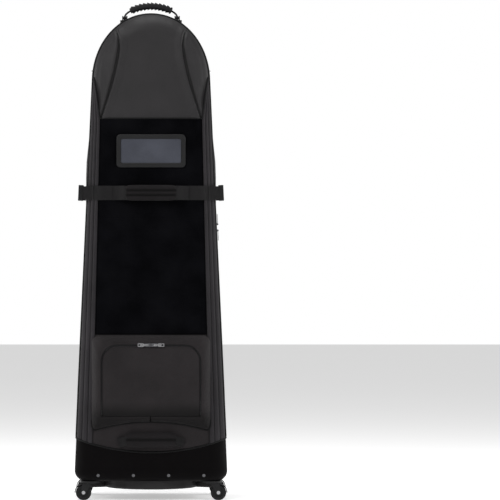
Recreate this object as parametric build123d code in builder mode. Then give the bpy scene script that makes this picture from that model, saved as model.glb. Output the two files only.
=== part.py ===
from build123d import *
import os
from math import atan2, cos, sin, sqrt, tan

# ---------------------------------------------------------------------------
# Golf travel case that stands upright on four swivel casters.
# X is the width, -Y the front with the opening lid, +Z up.
# The origin lies on the floor, under the middle of the case.
# ---------------------------------------------------------------------------

# Overall case
case_top = 1250.0            # height of the crown above the floor
base_width = 394.0           # width at the foot of the walls
base_depth = 298.0           # depth at the foot of the walls
crown_width = 300.0          # width where the crown starts
crown_start = 1085.0         # height where the crown starts
crown_roundness = 0.55       # how full the crown's curve is
top_depth = 230.0            # depth at the crown
centre_y = 8.0               # middle of the base, front to back
floor_gap = 50.0             # underside of the base plate above the floor
corner_radius = 45.0         # rounding of the upright edges
foot_radius = 28.0           # rounding between the walls and the underside
wall = 8.0                   # padded wall
back_seam_inset = 54.0       # back panel's edge, in from the outline
seam_gap = 0.4               # between pieces that part

# Lid, a front tray that is hinged at the skirt
lid_depth = 42.0             # from the front face to the middle of the zip
hinge_height = 128.0
dome_foot = 979.0            # lower edge of the moulded hood
dome_half_width = 131.0      # hood and panel at that edge
dome_shoulder = 1110.0       # where the hood reaches the outline
panel_half_width = 152.0     # loop panel at the base plate
zip_width = 12.0
zip_inset = 3.0              # chain below the outer skin
zip_thickness = 2.5

# Skirt, tray and board
skirt_corner_height = 162.0
skirt_wall = 6.0
piping_radius = 2.5
plate_thickness = 6.0
belly_height = 28.0          # lowest face of the tray above the floor
belly_radius = 122.0
belly_round = 6.0
wing_waist = 24.0            # half depth where the wings leave the belly
wing_start = 112.0
wing_end = 160.0
wing_half_depth = 46.0
oval_x = 68.0
oval_y = 47.0
groove_width = 6.0
groove_depth = 2.0
board_thickness = 10.0
rivet_radius = 4.0
rivet_height = 66.0
rivet_head = 1.5
rivet_spacing = 90.0
rivet_count = 4
screw_x = 87.0
screw_y = 53.0
screw_radius = 2.0
screw_length = 20.0
screw_head_radius = 4.5
screw_head = 3.0

# Casters
caster_x = 153.0
caster_rear_y = 105.0        # behind the middle of the base
caster_front_y = 102.0       # ahead of the middle of the base
cup_radius = 29.0
cup_thickness = 4.0
kingpin_radius = 4.0
kingpin_head_radius = 7.0
kingpin_head = 1.6
pin_clearance = 0.05
caster_radius = 20.0
caster_width = 16.0
caster_trail = 20.0
caster_axle_radius = 2.5
caster_cap_radius = 4.5
caster_cap = 1.2
tread_round = 3.0
dish_radius = 13.0
dish_inner_radius = 7.0
dish_depth = 2.0
fork_wall = 2.5
fork_boss_radius = 7.0
swivel_radius = 17.0
swivel_thickness = 3.0
swivel_gap = 0.4
wheel_gap = 1.0
hood_thickness = 2.0

# Fixed wheels at the rear edge
rear_wheel_radius = 22.0
rear_wheel_width = 22.0
rear_wheel_x = 82.0
rear_wheel_reach = 4.0       # past the rear wall
rear_wheel_height = 42.0
rear_axle_radius = 3.0
axle_lug_radius = 9.0
well_gap = 2.5
well_wall = 3.0

# Shoe pocket on the lid
pocket_half_width = 152.0
pocket_foot = 195.0
pocket_head = 422.0
pocket_reach = 30.0
pocket_wall = 4.0
pocket_round = 16.0
pocket_corner = 42.0         # of the zip's line
pocket_zip_half_width = 126.0
pocket_zip_foot = 218.0
pocket_zip_head = 399.0
pocket_zip_width = 10.0
pocket_zip_thickness = 2.0
pocket_zip_inset = 1.0

# Badge and middle band
badge_width = 177.0
badge_height = 85.0
badge_middle = 895.5
badge_round = 10.0
badge_frame_width = 11.5
badge_frame_thickness = 6.0
badge_plate_thickness = 3.0
badge_play = 0.2
band_height = 37.0
band_middle = 788.0
band_thickness = 2.0

# Grips
mid_grip_half_length = 64.0
mid_grip_height = 40.0
mid_grip_thickness = 13.0
mid_grip_gap = 16.0
mid_strap_end = 97.0
low_grip_half_length = 64.0
low_grip_foot = 139.0
low_grip_head = 177.0
low_grip_gap = 12.0
low_grip_thickness = 10.0
low_strap_end = 84.0
low_pivot_height = 146.0
low_pivot_gap = 4.0          # ahead of the lid
low_strap_height = 24.0
grip_round = 4.0
strap_thickness = 2.0
strap_play = 0.4
top_grip_half_length = 54.0
top_grip_end_height = 1262.0
top_grip_mid_height = 1274.5
top_grip_depth = 26.0
top_grip_thickness = 19.0
top_strap_width = 20.0
top_strap_thickness = 3.0
top_pivot_x = 68.0
top_pivot_height = 1244.0
top_pivot_radius = 2.5
top_eye_radius = 5.0
top_eye_length = 7.0
ear_thickness = 3.0
ear_radius = 6.0
ear_gap = 0.4
foot_pad_width = 24.0
foot_pad_depth = 34.0
foot_pad_head = 1238.0

# Sliders and their pulls
slider_length = 15.0
slider_width = 9.0
slider_thickness = 4.0
slider_round = 1.5
slider_lift = 0.4            # above its chain
post_thickness = 1.5
post_length = 4.6
pin_height = 2.7             # pull's pin above the slider
pull_pin_radius = 1.2
pull_length = 26.0
pull_width = 5.0
pull_thickness = 1.6
pull_eye_radius = 2.2
pull_gap = 0.3
tab_length = 16.0
tab_width = 9.0
lock_hole_radius = 2.5
main_meeting = 700.0         # where the two lid sliders meet
slider_spacing = 16.0

# Side buckles
buckle_width = 40.0
buckle_thickness = 12.0
buckle_stand_off = 11.0
buckle_round = 2.5
socket_length = 40.0
socket_wall = 2.5
socket_lip = 2.0             # from the zip's middle to the mouth
plug_length = 22.0
tongue_length = 24.0
tongue_play = 0.5
buckle_bar = 4.0
side_strap_height = 36.0
side_strap_reach = 66.0      # behind the zip, to the sewn end
side_strap_sewn = 30.0
side_strap_front = 34.0      # ahead of the zip, on the rounded edge

# Inner straps
inner_strap_heights = (420.0, 860.0)
inner_strap_width = 38.0
inner_buckle_height = 46.0
inner_buckle_width = 34.0
inner_buckle_thickness = 7.0

FAR = 900.0                  # beyond any reach of the case

os.makedirs("parts", exist_ok=True)

# ---------------------------------------------------------------------------
# The envelope of the case and the planes that follow it
# ---------------------------------------------------------------------------

base_half = base_width / 2
crown_half = crown_width / 2
front_y = centre_y - base_depth / 2
rear_y = centre_y + base_depth / 2
lean = atan2((base_depth - top_depth) / 2, case_top - floor_gap)
side_lean = atan2(base_half - crown_half, crown_start - floor_gap)
seam_height = hinge_height - piping_radius
half_zip = zip_width / 2

# The front face and the inside of the back lean; distances up them start at the base plate.
front_plane = Plane(
    origin=(0, front_y, floor_gap), x_dir=(1, 0, 0), z_dir=(0, -cos(lean), sin(lean))
)
back_plane = Plane(
    origin=(0, rear_y - wall, floor_gap), x_dir=(1, 0, 0), z_dir=(0, -cos(lean), -sin(lean))
)


def up_face(height):
    """Distance up a leaning face to a height above the floor."""
    return (height - floor_gap) / cos(lean)


def front_at(height):
    """Y of the front face at a height."""
    return front_y + (height - floor_gap) * tan(lean)


def rear_at(height):
    """Y of the rear face at a height."""
    return rear_y - (height - floor_gap) * tan(lean)


def side_at(height):
    """X of the side wall at a height below the crown."""
    return base_half - (height - floor_gap) * tan(side_lean)


def case_outline(inset):
    """The case seen from the front, moved inwards by inset."""
    with BuildSketch(Plane.XZ) as outline:
        with BuildLine():
            side = Line((base_half - inset, floor_gap + inset), (crown_half - inset, crown_start))
            Bezier(
                side @ 1,
                side @ 1 + (side % 1) * (case_top - inset - crown_start) * crown_roundness,
                ((crown_half - inset) * crown_roundness, case_top - inset),
                (0, case_top - inset),
            )
            Line((0, case_top - inset), (0, floor_gap + inset))
            Line((0, floor_gap + inset), side @ 0)
        make_face()
        mirror(about=Plane.YZ)
    return outline.sketch


def case_block(inset):
    """The whole case as a solid, with every face moved inwards by inset."""
    with BuildPart() as block:
        extrude(case_outline(inset), amount=FAR, both=True)
        with BuildSketch(Plane.YZ):
            with BuildLine():
                Polyline(
                    (front_at(floor_gap) + inset, floor_gap),
                    (rear_at(floor_gap) - inset, floor_gap),
                    (rear_at(case_top + wall) - inset, case_top + wall),
                    (front_at(case_top + wall) + inset, case_top + wall),
                    close=True,
                )
            make_face()
        extrude(amount=FAR, both=True, mode=Mode.INTERSECT)
        faces_y = block.faces().sort_by(Axis.Y)
        rims = faces_y[0].edges() + faces_y[-1].edges()
        low = rims.group_by(Axis.Z)[0]
        fillet([edge for edge in rims if edge not in low], radius=corner_radius - inset)
        fillet(block.faces().sort_by(Axis.Z)[0].edges(), radius=foot_radius - inset)
    return block.part


def depth_zone(start, end):
    """Everything between two planes that lie start and end behind the front face."""
    with BuildPart() as zone:
        with BuildSketch(Plane.YZ):
            with BuildLine():
                Polyline(
                    (front_at(0) + start, 0),
                    (front_at(0) + end, 0),
                    (front_at(FAR * 2) + end, FAR * 2),
                    (front_at(FAR * 2) + start, FAR * 2),
                    close=True,
                )
            make_face()
        extrude(amount=FAR, both=True)
    return zone.part


def seam_zone(low, high):
    """Everything between two copies of the lid's curved seam, raised by low and high."""
    with BuildPart() as zone:
        with BuildSketch(Plane.XZ):
            with BuildLine():
                for rise in (low, high):
                    ThreePointArc(
                        (-base_half, skirt_corner_height + rise),
                        (0, seam_height + rise),
                        (base_half, skirt_corner_height + rise),
                    )
                for side in (-1, 1):
                    Line(
                        (side * base_half, skirt_corner_height + low),
                        (side * base_half, skirt_corner_height + high),
                    )
            make_face()
        extrude(amount=FAR, both=True)
    return zone.part


def flat_zone(low, high):
    """Everything between two heights."""
    with BuildPart() as zone:
        with BuildSketch(Plane.XY.offset(low)):
            Rectangle(FAR * 2, FAR * 2)
        extrude(amount=high - low)
    return zone.part


def front_zone(corners):
    """Everything in front of and behind an outline seen from the front."""
    with BuildPart() as zone:
        with BuildSketch(Plane.XZ):
            with BuildLine():
                Polyline(*corners, close=True)
            make_face()
        extrude(amount=FAR, both=True)
    return zone.part


def hollow(outside, inside):
    """The wall between two solids."""
    with BuildPart() as shell:
        add(outside)
        add(inside, mode=Mode.SUBTRACT)
    return shell.part


def common(solid, *zones):
    """The part of a solid that lies in every zone."""
    with BuildPart() as piece:
        add(solid)
        for zone in zones:
            add(zone, mode=Mode.INTERSECT)
    return piece.part


outer = case_block(0)
raised = case_block(-piping_radius)
case_wall = hollow(outer, case_block(wall))
skirt_shell = hollow(outer, case_block(skirt_wall))
piping_wall = hollow(raised, case_block(wall))
rim_wall = hollow(raised, outer)
chain_wall = hollow(case_block(zip_inset), case_block(zip_inset + zip_thickness))
strap_wall = hollow(case_block(-band_thickness), outer)
ahead_of_zip = depth_zone(-FAR, lid_depth - half_zip)
behind_zip = depth_zone(lid_depth + half_zip, FAR)
above_seam = seam_zone(piping_radius + seam_gap, FAR * 2)
above_skirt = flat_zone(skirt_corner_height + piping_radius, FAR * 2)
lid_wall = common(case_wall, ahead_of_zip, above_seam)
rear_wall = common(case_wall, behind_zip, above_skirt)

# ---------------------------------------------------------------------------
# Base: moulded tray, skirt, piping, board and their fasteners
# ---------------------------------------------------------------------------

wheel_y = rear_y + rear_wheel_reach - rear_wheel_radius
well_half_width = rear_wheel_width / 2 + well_gap
well_front = wheel_y - rear_wheel_radius - well_gap
well_top = rear_wheel_height + rear_wheel_radius + well_gap
plate_width = base_width - 2 * foot_radius
plate_depth = base_depth - 2 * foot_radius


def rear_wells(grow, low, high):
    """Boxes over the two rear wheels, open behind, grown sideways and forwards."""
    with BuildPart() as wells:
        with BuildSketch(Plane.XY.offset(low)):
            with Locations((-rear_wheel_x, rear_y), (rear_wheel_x, rear_y)):
                Rectangle(2 * (well_half_width + grow), 2 * (rear_y - well_front + grow))
        extrude(amount=high - low)
    return wells.part


well_space = rear_wells(0, 0, well_top)
well_boxes = rear_wells(well_wall, floor_gap, well_top + well_wall)

with BuildPart() as axle_lugs:
    with BuildSketch(Plane.XY.offset(rear_wheel_height - axle_lug_radius)):
        with Locations((-rear_wheel_x, wheel_y), (rear_wheel_x, wheel_y)):
            Rectangle(2 * (well_half_width + well_wall), 2 * axle_lug_radius)
    extrude(amount=floor_gap + plate_thickness - rear_wheel_height + axle_lug_radius)

with BuildPart() as base_tray:
    with BuildSketch(Plane.XY.offset(floor_gap)):
        with Locations((0, centre_y)):
            RectangleRounded(plate_width, plate_depth, corner_radius - foot_radius)
    extrude(amount=plate_thickness)
    with BuildSketch(Plane.XY.offset(belly_height)):
        with Locations((0, centre_y)):
            Circle(belly_radius)
        for side in (-1, 1):
            with BuildLine():
                Polyline(
                    (0, centre_y - wing_waist),
                    (side * wing_start, centre_y - wing_waist),
                    (side * wing_end, centre_y - wing_half_depth),
                    (side * wing_end, centre_y + wing_half_depth),
                    (side * wing_start, centre_y + wing_waist),
                    (0, centre_y + wing_waist),
                    close=True,
                )
            make_face()
    extrude(amount=floor_gap - belly_height)
    fillet(base_tray.faces().sort_by(Axis.Z)[0].edges(), radius=belly_round)
    with BuildSketch(Plane.XY.offset(belly_height)):
        with Locations((0, centre_y)):
            Ellipse(oval_x, oval_y)
            Ellipse(oval_x - groove_width, oval_y - groove_width, mode=Mode.SUBTRACT)
    extrude(amount=groove_depth, mode=Mode.SUBTRACT)
    with BuildSketch(Plane.XY.offset(belly_height)):
        with Locations((0, centre_y)):
            with GridLocations(2 * screw_x, 2 * screw_y, 2, 2):
                Circle(screw_head_radius)
    extrude(amount=screw_head, mode=Mode.SUBTRACT)
    with BuildSketch(Plane.XY.offset(belly_height)):
        with Locations((0, centre_y)):
            with GridLocations(2 * screw_x, 2 * screw_y, 2, 2):
                Circle(screw_radius)
    extrude(amount=screw_length, mode=Mode.SUBTRACT)
    add(common(well_boxes, outer))
    add(axle_lugs.part)
    add(well_space, mode=Mode.SUBTRACT)
    with BuildSketch(Plane.YZ):
        with Locations((wheel_y, rear_wheel_height)):
            Circle(rear_axle_radius)
    extrude(amount=rear_wheel_x + well_half_width + well_wall, both=True, mode=Mode.SUBTRACT)
base_tray.part.label = "base_tray"
export_step(base_tray.part, "parts/base_tray.step")

with BuildPart() as base_screws:
    with BuildSketch(Plane.XY.offset(belly_height)):
        with Locations((0, centre_y)):
            with GridLocations(2 * screw_x, 2 * screw_y, 2, 2):
                Circle(screw_head_radius)
    extrude(amount=screw_head)
    with BuildSketch(Plane.XY.offset(belly_height)):
        with Locations((0, centre_y)):
            with GridLocations(2 * screw_x, 2 * screw_y, 2, 2):
                Circle(screw_radius)
    extrude(amount=screw_length)
base_screws.part.label = "base_screws"
export_step(base_screws.part, "parts/base_screws.step")

with BuildPart() as skirt_rivets:
    with BuildSketch(Plane.XZ):
        with Locations((0, rivet_height)):
            with GridLocations(rivet_spacing, 1, rivet_count, 1):
                Circle(rivet_radius)
    extrude(amount=FAR, both=True)
    add(case_block(-rivet_head), mode=Mode.INTERSECT)
    add(case_block(skirt_wall), mode=Mode.SUBTRACT)
    add(depth_zone(-FAR, base_depth / 2), mode=Mode.INTERSECT)
skirt_rivets.part.label = "skirt_rivets"
export_step(skirt_rivets.part, "parts/skirt_rivets.step")

front_half = depth_zone(-FAR, lid_depth)
rear_half = depth_zone(lid_depth, FAR)
with BuildPart() as base_skirt:
    add(common(skirt_shell, front_half, seam_zone(-FAR, -piping_radius)))
    add(common(skirt_shell, rear_half, flat_zone(0, skirt_corner_height - piping_radius)))
    add(skirt_rivets.part, mode=Mode.SUBTRACT)
    add(base_tray.part, mode=Mode.SUBTRACT)
    add(well_space, mode=Mode.SUBTRACT)
base_skirt.part.label = "base_skirt"
export_step(base_skirt.part, "parts/base_skirt.step")

level_band = flat_zone(
    skirt_corner_height - piping_radius, skirt_corner_height + piping_radius
)
with BuildPart() as skirt_piping:
    add(common(piping_wall, front_half, seam_zone(-piping_radius, piping_radius)))
    add(common(piping_wall, rear_half, level_band))
skirt_piping.part.label = "skirt_piping"
export_step(skirt_piping.part, "parts/skirt_piping.step")

board_foot = floor_gap + skirt_wall
with BuildPart() as base_board:
    add(case_block(skirt_wall))
    add(flat_zone(board_foot, board_foot + board_thickness), mode=Mode.INTERSECT)
    add(base_tray.part, mode=Mode.SUBTRACT)
    add(well_space, mode=Mode.SUBTRACT)
base_board.part.label = "base_board"
export_step(base_board.part, "parts/base_board.step")

with BuildPart() as rear_wheel_axles:
    with BuildSketch(Plane.YZ):
        with Locations((wheel_y, rear_wheel_height)):
            Circle(rear_axle_radius)
    extrude(amount=rear_wheel_x + well_half_width + well_wall, both=True)
    add(rear_wells(well_wall, 0, FAR), mode=Mode.INTERSECT)
rear_wheel_axles.part.label = "rear_wheel_axles"
export_step(rear_wheel_axles.part, "parts/rear_wheel_axles.step")


def wheel(hub_plane, radius, width, bore):
    """A wheel with a rounded tread and dished sides, centred on a plane."""
    with BuildPart() as disc:
        with BuildSketch(hub_plane):
            Circle(radius)
            Circle(bore, mode=Mode.SUBTRACT)
        extrude(amount=width / 2, both=True)
        rims = disc.edges().filter_by(GeomType.CIRCLE).sort_by(SortBy.RADIUS)[-2:]
        fillet(rims, radius=tread_round)
        for side in (-1, 1):
            with BuildSketch(hub_plane.offset(side * (width / 2 - dish_depth))):
                Circle(dish_radius)
                Circle(dish_inner_radius, mode=Mode.SUBTRACT)
            extrude(amount=side * dish_depth, mode=Mode.SUBTRACT)
    return disc.part


for side, name in ((-1, "left"), (1, "right")):
    rear_hub = Plane(
        origin=(side * rear_wheel_x, wheel_y, rear_wheel_height), x_dir=(0, 1, 0), z_dir=(1, 0, 0)
    )
    rear_wheel = wheel(rear_hub, rear_wheel_radius, rear_wheel_width, rear_axle_radius + pin_clearance)
    rear_wheel.label = "rear_wheel_" + name
    export_step(rear_wheel, "parts/rear_wheel_" + name + ".step")

# ---------------------------------------------------------------------------
# Swivel casters at the four corners
# ---------------------------------------------------------------------------

cup_foot = floor_gap - cup_thickness
swivel_head = cup_foot - swivel_gap
swivel_foot = swivel_head - swivel_thickness
pin_foot = swivel_foot - swivel_gap - kingpin_head
fork_inside = caster_width / 2 + wheel_gap
fork_outside = fork_inside + fork_wall
hood_inside = caster_radius + wheel_gap
caster_places = [
    (side * caster_x, centre_y + back)
    for side in (-1, 1)
    for back in (-caster_front_y, caster_rear_y)
]

with BuildPart() as caster_cups:
    for radius, low, high in (
        (cup_radius, cup_foot, floor_gap),
        (kingpin_radius, swivel_foot - swivel_gap, cup_foot),
        (kingpin_head_radius, pin_foot, swivel_foot - swivel_gap),
    ):
        with BuildSketch(Plane.XY.offset(low)):
            with Locations(*caster_places):
                Circle(radius)
        extrude(amount=high - low)
caster_cups.part.label = "caster_cups"
export_step(caster_cups.part, "parts/caster_cups.step")


def caster_fork(x, y, side):
    """A swivel disc with two cheeks and a hood that hold the axle beside the pin."""
    swivel = Plane(origin=(x, y, 0), x_dir=(side, 0, 0), z_dir=(0, 0, 1))
    cheek = Plane(origin=(x, y, 0), x_dir=(side, 0, 0), z_dir=(0, -side, 0))
    with BuildPart() as fork:
        with BuildSketch(swivel.offset(swivel_foot)):
            Circle(swivel_radius)
            with Locations((caster_trail / 2, 0)):
                Rectangle(caster_trail, 2 * fork_outside)
        extrude(amount=swivel_thickness)
        with BuildSketch(cheek) as cheek_face:
            with Locations((caster_trail, caster_radius)):
                Circle(fork_boss_radius)
            with BuildLine():
                Polyline(
                    (0, swivel_foot),
                    (caster_trail - fork_boss_radius, caster_radius),
                    (caster_trail + fork_boss_radius, caster_radius),
                    (caster_trail + fork_boss_radius / 2, swivel_foot),
                    close=True,
                )
            make_face()
        extrude(amount=fork_outside, both=True)
        with BuildSketch(cheek):
            with Locations((caster_trail, caster_radius)):
                Circle(hood_inside + hood_thickness)
                Circle(hood_inside, mode=Mode.SUBTRACT)
            with Locations((caster_trail + FAR / 2, caster_radius + FAR / 2)):
                Rectangle(FAR, FAR, mode=Mode.INTERSECT)
        extrude(amount=fork_outside, both=True)
        with BuildSketch(cheek):
            with Locations((caster_trail, caster_radius)):
                Circle(hood_inside)
        extrude(amount=fork_inside, both=True, mode=Mode.SUBTRACT)
        with BuildSketch(cheek):
            with Locations((caster_trail, caster_radius)):
                Circle(caster_axle_radius)
        extrude(amount=FAR, both=True, mode=Mode.SUBTRACT)
        with BuildSketch(swivel.offset(swivel_foot)):
            Circle(kingpin_radius + pin_clearance)
        extrude(amount=swivel_thickness, mode=Mode.SUBTRACT)
        with BuildSketch(swivel.offset(pin_foot - swivel_gap)):
            Circle(kingpin_head_radius + wheel_gap)
        extrude(amount=swivel_foot - pin_foot + swivel_gap, mode=Mode.SUBTRACT)
    return fork.part


def caster_axle(x, y, side):
    """A pin through the fork with a cap at each end."""
    middle = Plane(
        origin=(x + side * caster_trail, y, caster_radius), x_dir=(1, 0, 0), z_dir=(0, 1, 0)
    )
    with BuildPart() as axle:
        with BuildSketch(middle):
            Circle(caster_axle_radius)
        extrude(amount=fork_outside, both=True)
        for end in (-1, 1):
            with BuildSketch(middle.offset(end * fork_outside)):
                Circle(caster_cap_radius)
            extrude(amount=end * caster_cap)
    return axle.part


corner_names = ("front_left", "rear_left", "front_right", "rear_right")
for (x, y), corner in zip(caster_places, corner_names):
    side = 1 if x > 0 else -1
    fork = caster_fork(x, y, side)
    fork.label = "caster_fork_" + corner
    export_step(fork, "parts/caster_fork_" + corner + ".step")
    axle = caster_axle(x, y, side)
    axle.label = "caster_axle_" + corner
    export_step(axle, "parts/caster_axle_" + corner + ".step")
    hub = Plane(
        origin=(x + side * caster_trail, y, caster_radius), x_dir=(1, 0, 0), z_dir=(0, 1, 0)
    )
    roller = wheel(hub, caster_radius, caster_width, caster_axle_radius + pin_clearance)
    roller.label = "caster_wheel_" + corner
    export_step(roller, "parts/caster_wheel_" + corner + ".step")

# ---------------------------------------------------------------------------
# Rear shell: back, side and top gussets, zip half and piping
# ---------------------------------------------------------------------------

with BuildPart() as flat_back:
    extrude(case_outline(back_seam_inset), amount=FAR, both=True)
    add(depth_zone(base_depth / 2, FAR), mode=Mode.INTERSECT)

with BuildPart() as back_panel:
    add(rear_wall)
    add(flat_back.part, mode=Mode.INTERSECT)
back_panel.part.label = "back_panel"
export_step(back_panel.part, "parts/back_panel.step")

gussets = hollow(rear_wall, flat_back.part)
for side, name in ((-1, "left"), (1, "right")):
    with BuildPart() as half_space:
        with BuildSketch(Plane.XY):
            with Locations((side * FAR / 2, 0)):
                Rectangle(FAR, FAR * 2)
        extrude(amount=crown_start)
    gusset = common(gussets, half_space.part)
    gusset.label = name + "_gusset"
    export_step(gusset, "parts/" + name + "_gusset.step")

with BuildPart() as top_gusset:
    add(gussets)
    add(flat_zone(crown_start, FAR * 2), mode=Mode.INTERSECT)
top_gusset.part.label = "top_gusset"
export_step(top_gusset.part, "parts/top_gusset.step")

with BuildPart() as case_piping:
    add(common(rim_wall, above_skirt))
    add(
        depth_zone(lid_depth + half_zip, lid_depth + half_zip + 2 * piping_radius),
        mode=Mode.INTERSECT,
    )
case_piping.part.label = "case_piping"
export_step(case_piping.part, "parts/case_piping.step")

with BuildPart() as case_zip:
    add(common(chain_wall, above_skirt))
    add(depth_zone(lid_depth + seam_gap / 2, lid_depth + half_zip), mode=Mode.INTERSECT)
case_zip.part.label = "case_zip"
export_step(case_zip.part, "parts/case_zip.step")

# ---------------------------------------------------------------------------
# Lid: loop panel, moulded hood, border, zip half and piping
# ---------------------------------------------------------------------------


def panel_half(height):
    """Half the width of the loop panel at a height."""
    share = (height - floor_gap) / (dome_foot - floor_gap)
    return panel_half_width + share * (dome_half_width - panel_half_width)


panel_zone = front_zone(
    [
        (-panel_half(0), 0),
        (panel_half(0), 0),
        (panel_half(dome_foot), dome_foot),
        (-panel_half(dome_foot), dome_foot),
    ]
)
dome_zone = front_zone(
    [
        (-dome_half_width, dome_foot),
        (dome_half_width, dome_foot),
        (crown_half, dome_shoulder),
        (FAR, dome_shoulder),
        (FAR, FAR * 2),
        (-FAR, FAR * 2),
        (-FAR, dome_shoulder),
        (-crown_half, dome_shoulder),
    ]
)

with BuildPart() as front_panel:
    add(lid_wall)
    add(panel_zone, mode=Mode.INTERSECT)
front_panel.part.label = "front_panel"
export_step(front_panel.part, "parts/front_panel.step")

with BuildPart() as dome_shell:
    add(lid_wall)
    add(dome_zone, mode=Mode.INTERSECT)
dome_shell.part.label = "dome_shell"
export_step(dome_shell.part, "parts/dome_shell.step")

with BuildPart() as lid_border:
    add(lid_wall)
    add(panel_zone, mode=Mode.SUBTRACT)
    add(dome_zone, mode=Mode.SUBTRACT)
lid_border.part.label = "lid_border"
export_step(lid_border.part, "parts/lid_border.step")

with BuildPart() as lid_piping:
    add(common(rim_wall, above_seam))
    add(
        depth_zone(lid_depth - half_zip - 2 * piping_radius, lid_depth - half_zip),
        mode=Mode.INTERSECT,
    )
lid_piping.part.label = "lid_piping"
export_step(lid_piping.part, "parts/lid_piping.step")

with BuildPart() as lid_zip:
    add(common(chain_wall, above_seam))
    add(depth_zone(lid_depth - half_zip, lid_depth - seam_gap / 2), mode=Mode.INTERSECT)
lid_zip.part.label = "lid_zip"
export_step(lid_zip.part, "parts/lid_zip.step")

# ---------------------------------------------------------------------------
# Badge and middle band on the lid
# ---------------------------------------------------------------------------

with BuildPart() as badge_frame:
    with BuildSketch(front_plane):
        with Locations((0, up_face(badge_middle))):
            RectangleRounded(badge_width, badge_height, badge_round)
            RectangleRounded(
                badge_width - 2 * badge_frame_width,
                badge_height - 2 * badge_frame_width,
                badge_round / 2,
                mode=Mode.SUBTRACT,
            )
    extrude(amount=badge_frame_thickness)
    fillet(badge_frame.faces().sort_by(Axis.Y)[0].edges(), radius=badge_frame_thickness / 3)
badge_frame.part.label = "badge_frame"
export_step(badge_frame.part, "parts/badge_frame.step")

with BuildPart() as badge_plate:
    with BuildSketch(front_plane):
        with Locations((0, up_face(badge_middle))):
            RectangleRounded(
                badge_width - 2 * badge_frame_width - badge_play,
                badge_height - 2 * badge_frame_width - badge_play,
                badge_round / 2,
            )
    extrude(amount=badge_plate_thickness)
badge_plate.part.label = "badge_plate"
export_step(badge_plate.part, "parts/badge_plate.step")

band_zone = flat_zone(band_middle - band_height / 2, band_middle + band_height / 2)
with BuildPart() as band_webbing:
    add(strap_wall)
    add(band_zone, mode=Mode.INTERSECT)
    add(
        depth_zone(-FAR, lid_depth - half_zip - 2 * piping_radius - seam_gap),
        mode=Mode.INTERSECT,
    )
band_webbing.part.label = "band_webbing"
export_step(band_webbing.part, "parts/band_webbing.step")

# ---------------------------------------------------------------------------
# Grips on the lid, each with its webbing ends
# ---------------------------------------------------------------------------


def front_level(height):
    """A section across the case at a height: X to the right, Y inwards from the front face."""
    return Plane(
        origin=(0, front_at(height), height), x_dir=(1, 0, 0), z_dir=(0, sin(lean), cos(lean))
    )


with BuildPart() as mid_grip:
    with BuildSketch(front_plane.offset(mid_grip_gap)):
        with Locations((0, up_face(band_middle))):
            RectangleRounded(2 * mid_grip_half_length, mid_grip_height, grip_round)
    extrude(amount=mid_grip_thickness)
    fillet(mid_grip.faces().sort_by(Axis.Y)[0].edges(), radius=grip_round / 2)
mid_grip.part.label = "mid_grip"
export_step(mid_grip.part, "parts/mid_grip.step")

strap_rise = mid_grip_gap + mid_grip_thickness / 2
strap_rest = band_thickness + strap_play
with BuildPart() as mid_webbing:
    for side in (-1, 1):
        with BuildSketch(front_level(band_middle)):
            with BuildLine():
                Polyline(
                    (side * mid_grip_half_length, -strap_rise),
                    (side * mid_grip_half_length, -strap_rise - strap_thickness),
                    (side * mid_strap_end, -strap_rest - strap_thickness),
                    (side * mid_strap_end, -strap_rest),
                    close=True,
                )
            make_face()
    extrude(amount=band_height / 2, both=True)
mid_webbing.part.label = "mid_webbing"
export_step(mid_webbing.part, "parts/mid_webbing.step")

with BuildPart() as low_grip:
    with BuildSketch(front_plane.offset(low_grip_gap)):
        with Locations((0, up_face((low_grip_foot + low_grip_head) / 2))):
            RectangleRounded(2 * low_grip_half_length, low_grip_head - low_grip_foot, grip_round)
    extrude(amount=low_grip_thickness)
    fillet(low_grip.faces().sort_by(Axis.Y)[0].edges(), radius=grip_round / 2)
low_grip.part.label = "low_grip"
export_step(low_grip.part, "parts/low_grip.step")

low_rise = low_grip_gap + low_grip_thickness / 2
with BuildPart() as low_webbing:
    for side in (-1, 1):
        with BuildSketch(front_level(low_pivot_height - strap_thickness)):
            with BuildLine():
                Polyline(
                    (side * low_grip_half_length, -low_rise + strap_thickness),
                    (side * low_grip_half_length, -low_rise - strap_thickness),
                    (side * low_strap_end, -low_pivot_gap - strap_thickness / 2),
                    (side * low_strap_end, -low_pivot_gap + strap_thickness / 2),
                    close=True,
                )
            make_face()
    extrude(amount=low_strap_height)
low_webbing.part.label = "low_webbing"
export_step(low_webbing.part, "parts/low_webbing.step")

# ---------------------------------------------------------------------------
# Shoe pocket: walls, zip half, and a flap that opens downwards
# ---------------------------------------------------------------------------


def pocket_block(inset):
    """The pocket as a solid on the front face, moved inwards by inset."""
    width = 2 * (pocket_half_width - inset)
    height = pocket_head - pocket_foot - 2 * inset
    with BuildPart() as block:
        with BuildSketch(front_plane):
            with Locations((0, up_face((pocket_foot + pocket_head) / 2))):
                RectangleRounded(width, height, pocket_round + wall - inset)
        extrude(amount=pocket_reach - inset)
        fillet(block.faces().sort_by(Axis.Y)[0].edges(), radius=pocket_round - inset)
    return block.part


def zip_line(grow, foot):
    """Everything within the pocket zip's arch, widened by grow and cut off at a foot."""
    radius = pocket_corner + grow
    half = pocket_zip_half_width + grow
    with BuildPart() as zone:
        with BuildSketch(front_plane.offset(pocket_reach - pocket_wall - wall)) as arch:
            with BuildLine():
                FilletPolyline(
                    (-half, up_face(foot)),
                    (-half, up_face(pocket_zip_head) + grow),
                    (half, up_face(pocket_zip_head) + grow),
                    (half, up_face(foot)),
                    radius=radius,
                )
                Line((-half, up_face(foot)), (half, up_face(foot)))
            make_face()
        extrude(amount=pocket_reach)
    return zone.part


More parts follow.
